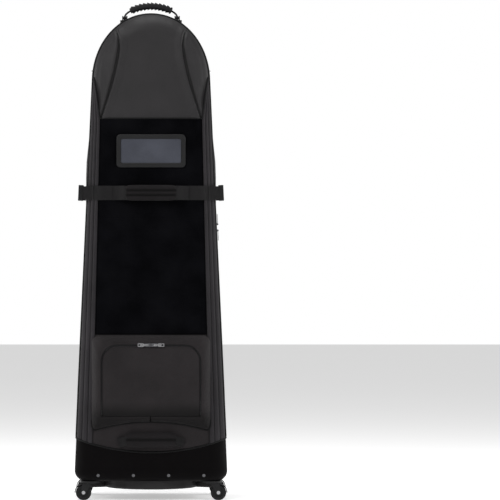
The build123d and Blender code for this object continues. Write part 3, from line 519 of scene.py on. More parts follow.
def maths(tree, operation, first, second):
    """A Math node between two sockets, or a socket and a number."""
    made = node(tree, "ShaderNodeMath", operation=operation)
    for slot_index, value in enumerate((first, second)):
        if isinstance(value, (int, float)):
            made.inputs[slot_index].default_value = value
        else:
            tree.links.new(value, made.inputs[slot_index])
    return made.outputs[0]


def new_finish(name, rough, metal=0.0, sheen=0.0, specular=0.5, coat=0.0):
    """A material with only its shader, whose even values sit on the shader's own sockets."""
    material = bpy.data.materials.new(name)
    material.use_nodes = True
    tree = material.node_tree
    tree.nodes.clear()
    out = node(tree, "ShaderNodeOutputMaterial")
    shader = node(tree, "ShaderNodeBsdfPrincipled", Roughness=rough, Metallic=metal)
    shader.inputs["Sheen Weight"].default_value = sheen
    shader.inputs["Sheen Roughness"].default_value = 0.45
    shader.inputs["Specular IOR Level"].default_value = specular
    shader.inputs["Coat Weight"].default_value = coat
    tree.links.new(shader.outputs[0], out.inputs[0])
    return material, tree, shader


def tinted(tree, shader, colour, spread, coarse, fine, vector):
    """Colour that drifts over the piece and speckles at thread scale, by two noises, and goes dark as painted
    shade where the crease attribute marks folds.
    """
    drift = node(tree, "ShaderNodeTexNoise", Scale=coarse, Detail=3.0)
    speck = node(tree, "ShaderNodeTexNoise", Scale=fine, Detail=2.0)
    for noise in (drift, speck):
        tree.links.new(vector, noise.inputs["Vector"])
    both = maths(tree, "ADD", maths(tree, "MULTIPLY", drift.outputs["Fac"], 0.5),
                 maths(tree, "MULTIPLY", speck.outputs["Fac"], 0.5))
    ramp = node(tree, "ShaderNodeValToRGB")
    dark, light = ramp.color_ramp.elements
    dark.position, light.position = 0.36, 0.64
    dark.color = [c * (1 - spread) for c in colour[:3]] + [1]
    light.color = [min(1, c * (1 + spread)) for c in colour[:3]] + [1]
    tree.links.new(both, ramp.inputs[0])
    # Painted shade: the colour darkens to 8 % of itself where the crease attribute marks folds, seams,
    # grooves and undersides.
    painted_shade = node(tree, "ShaderNodeAttribute", attribute_name="crease")
    shade = node(tree, "ShaderNodeMix", data_type="RGBA", blend_type="MIX")
    tree.links.new(painted_shade.outputs["Fac"], shade.inputs["Factor"])
    tree.links.new(ramp.outputs[0], shade.inputs[6])
    shade.inputs[7].default_value = [c * 0.08 for c in colour[:3]] + [1]
    tree.links.new(shade.outputs[2], shader.inputs["Base Color"])
    return both


def woven(name, colour, pitch, rough=0.8, sheen=0.15, spread=0.3, depth=0.0004, rib=1.0, use_uv=True):
    """Cloth: two sets of threads that cross, each a sine band, over the piece's own lengths."""
    material, tree, shader = new_finish(name, rough, sheen=sheen, specular=0.12)
    coordinates = node(tree, "ShaderNodeTexCoord")
    place = coordinates.outputs["UV" if use_uv else "Object"]
    fac = tinted(tree, shader, colour, spread, 9.0, 700.0, coordinates.outputs["Object"])
    bands = []
    for axis, wide in (("X", 1.0), ("Y" if use_uv else "Z", rib)):
        wave = node(tree, "ShaderNodeTexWave", Scale=0.314 / (pitch * wide), Distortion=0.6, Detail=1.0,
                    bands_direction=axis)
        tree.links.new(place, wave.inputs["Vector"])
        bands.append(wave.outputs["Fac"])
    threads = maths(tree, "ADD", maths(tree, "MULTIPLY", bands[0], bands[1]),
                    maths(tree, "MULTIPLY", fac, 0.35))
    bump = node(tree, "ShaderNodeBump", Strength=0.7, Distance=depth)
    tree.links.new(threads, bump.inputs["Height"])
    tree.links.new(bump.outputs[0], shader.inputs["Normal"])
    gloss = maths(tree, "MULTIPLY_ADD", bands[0], -0.12)
    gloss.node.inputs[2].default_value = rough
    tree.links.new(gloss, shader.inputs["Roughness"])
    return material


def moulded(name, colour, rough=0.5, grain=900.0, depth=0.0002, spread=0.18, specular=0.25, metal=0.0,
            sheen=0.0, coat=0.0):
    """Moulded rubber, plastic or metal: fine grain in the surface and in the gloss, by noise."""
    material, tree, shader = new_finish(name, rough, metal, sheen, specular, coat)
    place = node(tree, "ShaderNodeTexCoord").outputs["Object"]
    tinted(tree, shader, colour, spread, 14.0, grain * 0.6, place)
    skin = node(tree, "ShaderNodeTexNoise", Scale=grain, Detail=3.0)
    tree.links.new(place, skin.inputs["Vector"])
    bump = node(tree, "ShaderNodeBump", Strength=0.5, Distance=depth)
    tree.links.new(skin.outputs["Fac"], bump.inputs["Height"])
    tree.links.new(bump.outputs[0], shader.inputs["Normal"])
    gloss = node(tree, "ShaderNodeMapRange")
    for key, value in (("To Min", max(0.05, rough - 0.12)), ("To Max", min(1.0, rough + 0.12))):
        gloss.inputs[key].default_value = value
    smudge = node(tree, "ShaderNodeTexNoise", Scale=38.0, Detail=4.0)
    tree.links.new(place, smudge.inputs["Vector"])
    tree.links.new(smudge.outputs["Fac"], gloss.inputs["Value"])
    tree.links.new(gloss.outputs[0], shader.inputs["Roughness"])
    return material


def finish(name):
    """The finish of that name, made once from the scene's colours."""
    found = bpy.data.materials.get(name)
    if found:
        return found
    hues = bpy.context.scene.case_colours
    if name == "case_cloth":
        return woven(name, hues.shell, 0.0016, rough=0.76, sheen=0.05, spread=0.35)
    if name == "lining_cloth":
        return woven(name, hues.lining, 0.0012, rough=0.7, sheen=0.04, spread=0.2)
    if name == "pocket_cloth":
        return woven(name, hues.pocket, 0.0016, rough=0.78, sheen=0.05, spread=0.35)
    if name == "loop_pile":
        return moulded(name, hues.panel, rough=0.95, grain=1500.0, depth=0.0008, spread=0.5,
                       specular=0.0, sheen=0.0)
    if name == "hood_skin":
        return moulded(name, hues.hood, rough=0.56, grain=1100.0, depth=0.0006, spread=0.22,
                       specular=0.30, sheen=0.02)
    if name == "skirt_skin":
        return moulded(name, hues.skirt, rough=0.62, grain=800.0, depth=0.0003, specular=0.05)
    if name == "cord_cloth":
        return woven(name, hues.cord, 0.0012, rough=0.7, sheen=0.03, spread=0.25)
    if name == "tape_cloth":
        return woven(name, hues.tape, 0.0009, rough=0.8, sheen=0.03, spread=0.2)
    if name == "strap_web":
        return woven(name, hues.webbing, 0.0026, rough=0.68, sheen=0.04, spread=0.3, depth=0.0007, rib=0.5)
    if name == "grip_cloth":
        return woven(name, hues.grip, 0.0018, rough=0.85, sheen=0.04, spread=0.3)
    if name == "thread":
        return moulded(name, hues.thread, rough=0.6, grain=1500.0)
    if name == "coil_teeth":
        return moulded(name, hues.coil, rough=0.32, grain=600.0)
    if name == "grip_rubber_skin":
        return moulded(name, hues.rubber, rough=0.6, grain=1000.0)
    raise RuntimeError("no finish is named " + name)


def lined(name):
    """The finishes of a walled piece: its own outside and the lining inside."""
    return [finish(name), finish("lining_cloth")]


def plain_colour(label, value, text):
    """A colour property for the sidebar."""
    return bpy.props.FloatVectorProperty(
        name=label, description=text, default=value, size=3, min=0.0, max=1.0, subtype="COLOR"
    )


def length_size(label, value, text):
    """A length property for the sidebar."""
    return bpy.props.FloatProperty(
        name=label, description=text, default=value, min=0.0, max=0.2, unit="LENGTH", subtype="DISTANCE"
    )


class CaseSizes(bpy.types.PropertyGroup):
    """Sizes of the soft detail."""

    wall_puff: length_size("Wall puff", 0.0055, "How far the padded side walls swell between their seams")
    lid_puff: length_size("Lid puff", 0.0016, "How far each sewn row of the lid's border swells")
    pocket_puff: length_size("Pocket puff", 0.006, "How far the shoe pocket's flap swells")
    hood_groove: length_size("Hood groove", 0.0048, "Depth of the hood's moulded grooves")
    hood_facet: length_size("Hood facet", 0.0035, "How far the hood's side facets lie below its middle")
    cord_radius: length_size("Cord radius", 0.0024, "Radius of the piping")
    tooth_pitch: length_size("Tooth pitch", 0.0032, "Distance between the zip's teeth")
    stitch_pitch: length_size("Stitch pitch", 0.0062, "Distance between stitches")
    web_thickness: length_size("Webbing thickness", 0.0018, "Thickness of the webbing")
    grip_ribs: bpy.props.IntProperty(name="Grip ribs", description="Padded rows of the middle grip",
                                     default=3, min=1, max=6)


class CaseColours(bpy.types.PropertyGroup):
    """Colours of cloth, rubber and metal."""

    shell: plain_colour("Shell", (0.0185, 0.0168, 0.0188), "Cloth of the side walls and border")
    lining: plain_colour("Lining", (0.012, 0.012, 0.013), "Cloth inside the case")
    pocket: plain_colour("Pocket", (0.0150, 0.0128, 0.0136), "Cloth of the shoe pocket")
    panel: plain_colour("Panel", (0.0028, 0.0028, 0.0034), "Loop pile of the lid")
    hood: plain_colour("Hood", (0.0098, 0.0088, 0.0097), "Moulded hood")
    skirt: plain_colour("Skirt", (0.0012, 0.0008, 0.0010), "Moulded skirt at the foot")
    cord: plain_colour("Piping", (0.0030, 0.0030, 0.0032), "Piping along the seams")
    tape: plain_colour("Zip tape", (0.0045, 0.0045, 0.0048), "Tape of the zips")
    webbing: plain_colour("Webbing", (0.0075, 0.0070, 0.0075), "Straps and bands")
    grip: plain_colour("Grip", (0.0072, 0.0062, 0.0068), "Padded grips")
    thread: plain_colour("Thread", (0.026, 0.025, 0.027), "Stitching")
    coil: plain_colour("Coil", (0.0050, 0.0050, 0.0055), "Zip teeth")
    rubber: plain_colour("Rubber", (0.0052, 0.0052, 0.0056), "Top grip and wheels")
    tray: plain_colour("Tray", (0.0100, 0.0090, 0.0096), "Moulded base tray")
    buckle: plain_colour("Buckle", (0.0055, 0.0055, 0.0060), "Side buckles and caster parts")
    badge: plain_colour("Badge", (0.060, 0.064, 0.080), "Plain badge plate")
    steel: plain_colour("Steel", (0.40, 0.40, 0.41), "Rivets, pins and pulls")
    rivet: plain_colour("Rivet", (0.10, 0.10, 0.105), "Rivets and screws")
    slider: plain_colour("Slider", (0.16, 0.16, 0.17), "Zip sliders")
    floor: plain_colour("Floor", (0.86, 0.86, 0.86), "Floor and backdrop")


def loft(outer, bottom, share):
    """Rows between two lines: each row is the outer line moved towards the bottom line by a share."""
    return outer[None] + (bottom - outer)[None] * share[:, None, None]


def hood_groove_at(z):
    """Half distance between the hood's two grooves: wide at its foot, a waist, then out to the edge."""
    heights = [0.979, 1.02, 1.06, 1.10, 1.14, 1.165, 1.19, 1.208, 1.24]
    halves = [0.130, 0.116, 0.104, 0.0935, 0.0855, 0.0825, 0.0850, 0.0915, 0.112]
    return np.interp(z, heights, halves)


class CASE_OT_lid_front(bpy.types.Operator):
    """Loop panel and moulded hood of the lid"""

    bl_idname = "travel_case.lid_front"
    bl_label = "Lid front"

    def execute(self, context):
        """The panel is a grid on the front skin. The hood's rows run between its upper edge and foot."""
        sizes = context.scene.case_sizes
        u = np.linspace(-1, 1, 121)[None, :]
        v = np.linspace(0, 1, 301)[:, None]
        low = seam_at(u * panel_half(0.14)) + SEAM_CLEAR
        cut = POCKET_HEAD + 0.004
        z = np.where(v <= 1 / 3, low + (cut - low) * 3 * v, cut + (HOOD_FOOT - cut) * (3 * v - 1) / 2)
        x = u * panel_half(z)
        crease = np.exp(-(((z - 0.727) / 0.0022) ** 2))
        swell = 0.0012 * np.sin(np.pi * np.clip((z - 0.43) / 0.545, 0, 1)) * (1 - u**2)
        tuck = 0.0015 * smooth((np.abs(u) - 0.965) / 0.035)
        outer = front_skin(x, z, swell - 0.0012 * crease - tuck)
        inner = outer - normals_of(outer) * WALL
        part = shell(outer, inner)
        cells = 300 * 120
        part[2][: cells // 3] = 2
        # Painted shade along the pocket's top seam and down the panel's sides.
        painted_shade = 0.9 * np.exp(-(((z - cut) / 0.0015) ** 2)) + 0.8 * smooth((np.abs(u) - 0.975) / 0.025)
        panel = piece("loop_panel", part, "lid",
                      [finish("loop_pile"), finish("lining_cloth"), finish("pocket_cloth")], ["front_panel"],
                      crease=outer_only(painted_shade))

        edge, edge_normal = outline(HOOD_SHOULDER, 220)
        edge = edge - edge_normal * HOOD_MARGIN
        edge = edge[edge[:, 1] >= HOOD_SHOULDER]
        side = np.stack([np.linspace(HOOD_HALF, CROWN_HALF, 60)[:-1],
                         np.linspace(HOOD_FOOT, HOOD_SHOULDER, 60)[:-1]], 1)
        side[:, 0] = np.minimum(side[:, 0], side_at(side[:, 1]) - HOOD_MARGIN)
        upper = np.vstack([side, edge, side[::-1] * [-1, 1]])
        upper = even(upper, 321)
        foot = np.stack([np.linspace(HOOD_HALF, -HOOD_HALF, 321), np.full(321, HOOD_FOOT)], 1)
        share = np.linspace(0, 1, 141) ** 1.7
        flat = loft(upper, foot, share)
        x, z = flat[..., 0], flat[..., 1]
        gap = np.abs(x) - hood_groove_at(z)
        groove = np.exp(-((gap / 0.0036) ** 2))
        facet = smooth(gap / 0.006)
        fade = smooth((inset_of(x, z) - 0.002) / 0.012)
        lift = -sizes.hood_groove * groove * fade - sizes.hood_facet * facet * fade
        lift += 0.0028 * (1 - smooth((np.abs(gap) - 0.004) / 0.022)) * (1 - groove) * fade
        outer = front_skin(x, z)
        outward = normals_of(outer)
        outer = outer + outward * lift[..., None]
        inner = front_skin(x, z) - outward * WALL
        # Painted shade in the hood's moulded grooves and along its foot.
        painted_shade = np.clip(groove * fade + 0.7 * np.exp(-((z - HOOD_FOOT) / 0.003)), 0, 1)
        hood = piece("moulded_hood", shell(outer, inner), "lid",
                     lined("hood_skin"), ["dome_shell"],
                     crease=outer_only(painted_shade))

        line = np.vstack([side[::-1][10:], [[0.05, HOOD_FOOT], [0, HOOD_FOOT]]])
        line = even(np.vstack([line, line[-2::-1] * [-1, 1]]), 240)
        rest = front_skin(line[:, 0], line[:, 1], 0.0006)
        piece("hood_cord", tube(rest, DEEP, 0.0018), "lid",
              [finish("cord_cloth")])
        return {"FINISHED"}


class CASE_OT_lid_border(bpy.types.Operator):
    """Sewn border round the lid's front"""

    bl_idname = "travel_case.lid_border"
    bl_label = "Lid border"

    def execute(self, context):
        """Three padded rows side by side: the skin lifts by the size of a sine across each row."""
        sizes = context.scene.case_sizes
        path, _ = outline(BORDER_START, 1200)
        path = even(path[(path[:, 1] < BORDER_END) & (path[:, 0] > 0)], 320)
        step = np.gradient(path, axis=0)
        step /= np.linalg.norm(step, axis=1, keepdims=True)
        normal = np.stack([step[:, 1], -step[:, 0]], 1)
        z = path[:, 1]
        line = np.where(z < HOOD_FOOT, panel_half(z),
                        HOOD_HALF + (z - HOOD_FOOT) * (CROWN_HALF - HOOD_HALF) / (HOOD_SHOULDER - HOOD_FOOT))
        wide = np.maximum(path[:, 0] - line, 0.0014)
        share = np.linspace(0, 1, 73)
        last = 0.0009
        inset = last + (wide[:, None] - last) * (1 - share[None, :]) ** 1.25
        depth = round_off(inset)
        across = (wide[:, None] - inset) / (wide[:, None] - last)
        rows = np.abs(np.sin(3 * np.pi * across))
        room = np.clip(wide[:, None] / 0.02, 0, 1)
        puff = (sizes.lid_puff * (rows**0.6 - 0.35) * 2) * room
        wall = WALL * np.clip(wide[:, None] / 0.02, 0.1, 1)
        angle = np.arccos(np.clip(1 - depth / EDGE, -1, 1))
        outer = rim_skin(path[:, None, :], normal[:, None, :], inset - puff * np.sin(angle),
                         depth - puff * np.cos(angle))
        inner = rim_skin(path[:, None, :], normal[:, None, :], inset + wall * np.sin(angle),
                         depth + wall * np.cos(angle))
        for grid in (outer, inner):
            drop = BORDER_START - seam_at(grid[..., 0]) - SEAM_CLEAR
            share_down = 1 - smooth((z[:, None] - SEAM_SIDE) / 0.12)
            grid[..., 2] -= drop * share_down
            grid[..., 1] -= drop * share_down * LEAN
        half = shell(outer, inner)
        # Painted shade in the sewn seams between the padded rows.
        painted_shade = (1 - rows) ** 6 * room
        painted_shade = outer_only(painted_shade)
        border = piece("padded_border", joined(half, mirrored(half)), "lid",
                       lined("case_cloth"), ["lid_border"],
                       crease=np.concatenate([painted_shade, painted_shade]))
        lines = []
        for place in (1 / 3, 2 / 3):
            spot = last + (wide - last) * (1 - place)
            for way in (-0.0022, 0.0022):
                at = np.clip(spot + way, 0.001, None)
                seam = rim_skin(path, normal, at, round_off(at) - 0.0006)
                seam = seam[(wide > 0.015) & (seam[:, 2] > 0.175)]
                lines.append(beads_along(seam, ACROSS, bead(STITCH_LONG, STITCH_WIDE, STITCH_WIDE),
                                         sizes.stitch_pitch))
        seams = joined(*lines)
        piece("border_stitching", joined(seams, mirrored(seams)), "lid", [finish("thread")])
        return {"FINISHED"}


def wall_profile(z, count):
    """Depth behind the front face along a wall from the zip to where the rear edge starts."""
    share = np.linspace(0, 1, count)[None, :]
    start = ZIP_DEPTH + HALF_ZIP
    end = (rear_at(z) - front_at(z) - EDGE)[:, None]
    return start + (end - start) * share, share


def rear_rim(path, normal, puff):
    """Padded wall from the zip round the rear edge to the back seam, and its inner face.

    Along the flat part the wall swells as a sine to the power 0.7. The rear edge is a quarter circle.
    """
    z = path[:, 1]
    depth, share = wall_profile(z, 60)
    swell = puff[:, None] * np.sin(np.pi * share) ** 0.7
    turn = np.linspace(0, np.pi / 2, 22)[None, 1:]
    ones = np.ones((len(z), 1))
    seam = np.array([[0.25, 0.5, 0.75, 1.0]]) * (BACK_SEAM - EDGE)

    def grid(sink, swell_by):
        """The wall's three stretches, sunk inwards."""
        flat = rim_skin(path[:, None, :], normal[:, None, :], sink - swell_by, depth)
        inset = EDGE - (EDGE - sink) * np.cos(turn) * ones
        corner = rim_skin(path[:, None, :], normal[:, None, :], inset, 0 * inset)
        back = EDGE - (EDGE - sink) * np.sin(turn) * ones
        corner[..., 1] = rear_at(corner[..., 2]) - back
        face = rim_skin(path[:, None, :], normal[:, None, :], (EDGE + seam) * ones, 0 * seam * ones)
        face[..., 1] = rear_at(face[..., 2]) - sink
        return np.concatenate([flat, corner, face], axis=1)

    return grid(0.0, swell), grid(WALL, 0.0)


class CASE_OT_rear_walls(bpy.types.Operator):
    """Padded side walls, crown and back"""

    bl_idname = "travel_case.rear_walls"
    bl_label = "Rear walls"

    def execute(self, context):
        """Each wall is the rear rim over one stretch of the outline; the back is rows inside its seam."""
        sizes = context.scene.case_sizes
        foot = SEAM_SIDE + PIPE
        path, normal = outline(foot, 900)
        right = (path[:, 0] > 0) & (path[:, 1] <= CROWN_START + 0.002)
        crown = path[:, 1] >= CROWN_START - 0.0005
        stations = [0.16, 0.28, 0.5, 0.7, 0.74, 0.83, 0.87, 0.93, 1.0, 1.085]
        heights = np.array([0.55, 0.8, 0.75, 0.7, 0.55, 1.25, 1.35, 0.7, 0.35, 0.12])
        p, n = path[right], normal[right]
        puff = sizes.wall_puff * np.interp(p[:, 1], stations, heights)
        outer, inner = rear_rim(p, n, puff)
        wall = shell(outer, inner)
        cloth = lined("case_cloth")
        for name, part, node_name in (("side_wall_right", wall, "right_gusset"),
                                      ("side_wall_left", mirrored(wall), "left_gusset")):
            piece(name, part, "case", cloth, [node_name])
        p, n = path[crown], normal[crown]
        outer, inner = rear_rim(p, n, np.full(len(p), sizes.wall_puff * 0.12))
        top = piece("crown_wall", shell(outer, inner), "case", cloth, ["top_gusset"])

        path, normal = outline(foot, 361)
        ring = path - normal * BACK_SEAM
        ring = ring[ring[:, 1] > foot]
        ring = even(np.vstack([[ring[0, 0] + 0.0001, foot], ring, [ring[-1, 0] - 0.0001, foot]]), 321)
        low = np.stack([np.linspace(ring[0, 0], ring[-1, 0], 321), np.full(321, foot)], 1)
        share = np.linspace(0, 1, 121)
        flat = loft(ring, low, share)
        x, z = flat[..., 0], flat[..., 1]
        near = np.clip((inset_of(x, z) - BACK_SEAM) / 0.03, 0, 1)
        quilt = 0.0022 * np.sqrt(np.abs(np.cos(x / 0.286 * 3 * np.pi)) + 0.02)
        lift = (quilt + 0.002) * smooth(near) * smooth((z - foot) / 0.03)
        outer = np.stack([x, rear_at(z) + lift, z], -1)
        inner = np.stack([x, rear_at(z) - WALL, z], -1)
        back = piece("padded_back", shell(outer, inner), "case", cloth, ["back_panel"])
        line = np.stack([ring[:, 0], rear_at(ring[:, 1]) + 0.0002, ring[:, 1]], 1)
        piece("back_cord", tube(line, DEEP, 0.0019), "case",
              [finish("cord_cloth")])
        return {"FINISHED"}


def level_ring(z, inset, count):
    """A closed line round the case at a height: an oblong with rounded corners, counted from the back.

    The corner radius is the edge radius less the inset. z and inset may differ point by point.
    """
    turn = np.linspace(0, 2 * np.pi, count, endpoint=False)
    corner = EDGE - inset
    half = side_at(z) - inset
    front, rear = front_at(z) + inset, rear_at(z) - inset
    middle, deep = (front + rear) / 2, (rear - front) / 2
    flat_x, flat_y = half - corner, deep - corner
    total = 4 * (np.mean(flat_x) + np.mean(flat_y)) + 2 * np.pi * np.mean(corner)
    run = turn / (2 * np.pi) * total
    stops = np.cumsum([0, np.mean(flat_x), np.mean(corner) * np.pi / 2, 2 * np.mean(flat_y),
                       np.mean(corner) * np.pi / 2, 2 * np.mean(flat_x), np.mean(corner) * np.pi / 2,
                       2 * np.mean(flat_y), np.mean(corner) * np.pi / 2, np.mean(flat_x)])
    part = np.clip((run[:, None] - stops[None, :-1]) / np.diff(stops)[None, :], 0, 1)
    quarter = np.pi / 2
    x = flat_x * (part[:, 0] - 2 * part[:, 4] + part[:, 8])
    y = flat_y * (1 - 2 * part[:, 2] + 2 * part[:, 6])
    angle = quarter - quarter * (part[:, 1] + part[:, 3] + part[:, 5] + part[:, 7])
    return x + corner * np.cos(angle), middle + y + corner * np.sin(angle)


def skirt_top(x, y, z):
    """Height of the skirt's seam: level behind the zip, and the lid's arc ahead of it."""
    ahead = y < front_at(z) + ZIP_DEPTH
    return np.where(ahead, seam_at(x), SEAM_SIDE)


class CASE_OT_skirt(bpy.types.Operator):
    """Skirt round the foot, and its piping"""

    bl_idname = "travel_case.skirt"
    bl_label = "Skirt"

    def execute(self, context):
        """Level rings from the tray's edge up a quarter circle and on to the seam, with two wheel gaps."""
        sizes = context.scene.case_sizes
        count = 720
        ring_x, ring_y = level_ring(np.full(count, SKIRT_LEVEL), np.zeros(count), count)
        top = skirt_top(ring_x, ring_y, SKIRT_LEVEL) - PIPE
        arc = np.linspace(0, np.pi / 2, 10)[:-1]
        heights = FLOOR_GAP + FOOT * (1 - np.cos(arc))
        lows = np.concatenate([heights, [FLOOR_GAP + FOOT]])

        def grid(sink):
            """All rings, each point sunk into the wall."""
            rings = []
            for height in lows:
                rise = np.clip(FOOT - (height - FLOOR_GAP), 0, FOOT)
                inset = FOOT - np.sqrt(max(FOOT**2 - rise**2, 0))
                z = np.full(count, height)
                x, y = level_ring(z, np.full(count, inset + sink * (1 - rise / FOOT)), count)
                rings.append(np.stack([x, y, z + sink * rise / FOOT], 1))
            for share in np.linspace(0, 1, 26)[1:]:
                z = FLOOR_GAP + FOOT + (top - FLOOR_GAP - FOOT) * share
                x, y = level_ring(z, np.full(count, sink), count)
                rings.append(np.stack([x, y, z], 1))
            return np.array(rings)

        outer, inner = grid(0.0), grid(SKIRT_WALL)
        around = np.concatenate([outer[:-1], outer[:-1, :1]], axis=1)
        middle = (around[:, :-1] + around[:, 1:]) / 2
        near = np.abs(np.abs(middle[..., 0]) - WHEEL_GAP_X) < WHEEL_GAP_HALF
        keep = ~(near & (middle[..., 1] > WHEEL_GAP_Y) & (middle[..., 2] < WHEEL_GAP_TOP))
        piece("foot_skirt", shell(outer, inner, keep, wrap=True), "case",
              [finish("skirt_skin")], ["base_skirt"])
        z = skirt_top(ring_x, ring_y, SKIRT_LEVEL)
        x, y = level_ring(z, np.zeros(count), count)
        line = np.stack([x, y, z], 1)
        piece("skirt_cord", tube(line, UPRIGHT, sizes.cord_radius, closed=True), "case",
              [finish("cord_cloth")], ["skirt_piping"])
        return {"FINISHED"}


def rim_line(depth, start, count, proud=0.0):
    """A line round the opening at a depth behind the front face, lifted off the skin."""
    path, normal = outline(start, count)
    inset = EDGE - math.sqrt(EDGE**2 - max(EDGE - depth, 0.0) ** 2)
    angle = math.acos(max(0.0, 1 - min(depth, EDGE) / EDGE))
    line = rim_skin(path, normal, inset - proud * math.sin(angle), depth - proud * math.cos(angle))
    side = np.stack([0 * path[:, 0], np.ones(len(path)), 0 * path[:, 0]], 1)
    return line, side


class CASE_OT_zip_and_cords(bpy.types.Operator):
    """Main zip with its teeth, and the piping on both sides of it"""

    bl_idname = "travel_case.zip_and_cords"
    bl_label = "Zip and piping"

    def execute(self, context):
        """Cords and tapes follow the opening; every second tooth belongs to the lid."""
        sizes = context.scene.case_sizes
        lid_start, case_start = SEAM_SIDE + 0.0024, SEAM_SIDE + PIPE
        for name, depth, start, body, node_name in (
            ("lid_cord", ZIP_DEPTH - HALF_ZIP - PIPE, lid_start, "lid", "lid_piping"),
            ("case_cord", ZIP_DEPTH + HALF_ZIP + PIPE, case_start, "case", "case_piping"),
        ):
            line, side = rim_line(depth, start, 420, 0.0002)
            piece(name, tube(line, side, sizes.cord_radius), body, [finish("cord_cloth")],
                  [node_name])
        shape = bead(0.0046, 0.0017, 0.0020)
        for name, low, high, body, node_name, shift in (
            ("lid_tape", -0.0072, -0.0001, "lid", "lid_zip", 0.0),
            ("case_tape", 0.0001, 0.0072, "case", "case_zip", 0.5),
        ):
            line, side = rim_line(ZIP_DEPTH + (low + high) / 2, lid_start, 420, -0.0036)
            tape = ribbon(line, side, high - low, TAPE_THICK)
            teeth_line, side = rim_line(ZIP_DEPTH + (low + high) * 0.14, lid_start, 900, -0.0026)
            teeth = beads_along(teeth_line, side, shape, sizes.tooth_pitch, math.pi / 2 * 0.92,
                                start=shift * sizes.tooth_pitch)
            piece(name, joined(with_finish(tape, 0), with_finish(teeth, 1)), body,
                  [finish("tape_cloth"), finish("coil_teeth")], [node_name])
        return {"FINISHED"}


def pocket_ring(half, foot, head, low_round, high_round, count=60):
    """A closed line round the pocket: an oblong with its own radius at the foot and the head.

    It starts in the middle of the foot and runs to the right. Each straight and corner has a fixed
    share of the points, so two such lines match point for point.
    """
    quarter = np.linspace(0, np.pi / 2, 16)
    cx_low, cx_high = half - low_round, half - high_round
    parts = [
        np.stack([np.linspace(0, cx_low, count)[:-1], np.full(count - 1, foot)], 1),
        np.stack([cx_low + low_round * np.sin(quarter), foot + low_round * (1 - np.cos(quarter))], 1)[:-1],
        np.stack([np.full(count - 1, half), np.linspace(foot + low_round, head - high_round, count)[:-1]], 1),
        np.stack([cx_high + high_round * np.cos(quarter), head - high_round * (1 - np.sin(quarter))], 1)[:-1],
        np.stack([np.linspace(cx_high, 0, count)[:-1], np.full(count - 1, head)], 1),
    ]
    right = np.vstack(parts)
    left = right[1:][::-1] * [-1, 1]
    return np.vstack([right, [[0, head]], left])


def pocket_face(z):
    """How far the pocket's face stands off the lid: its full reach, eased back over its lowest part."""
    return POCKET_REACH - 0.010 * (1 - smooth((z - 0.214) / 0.05))


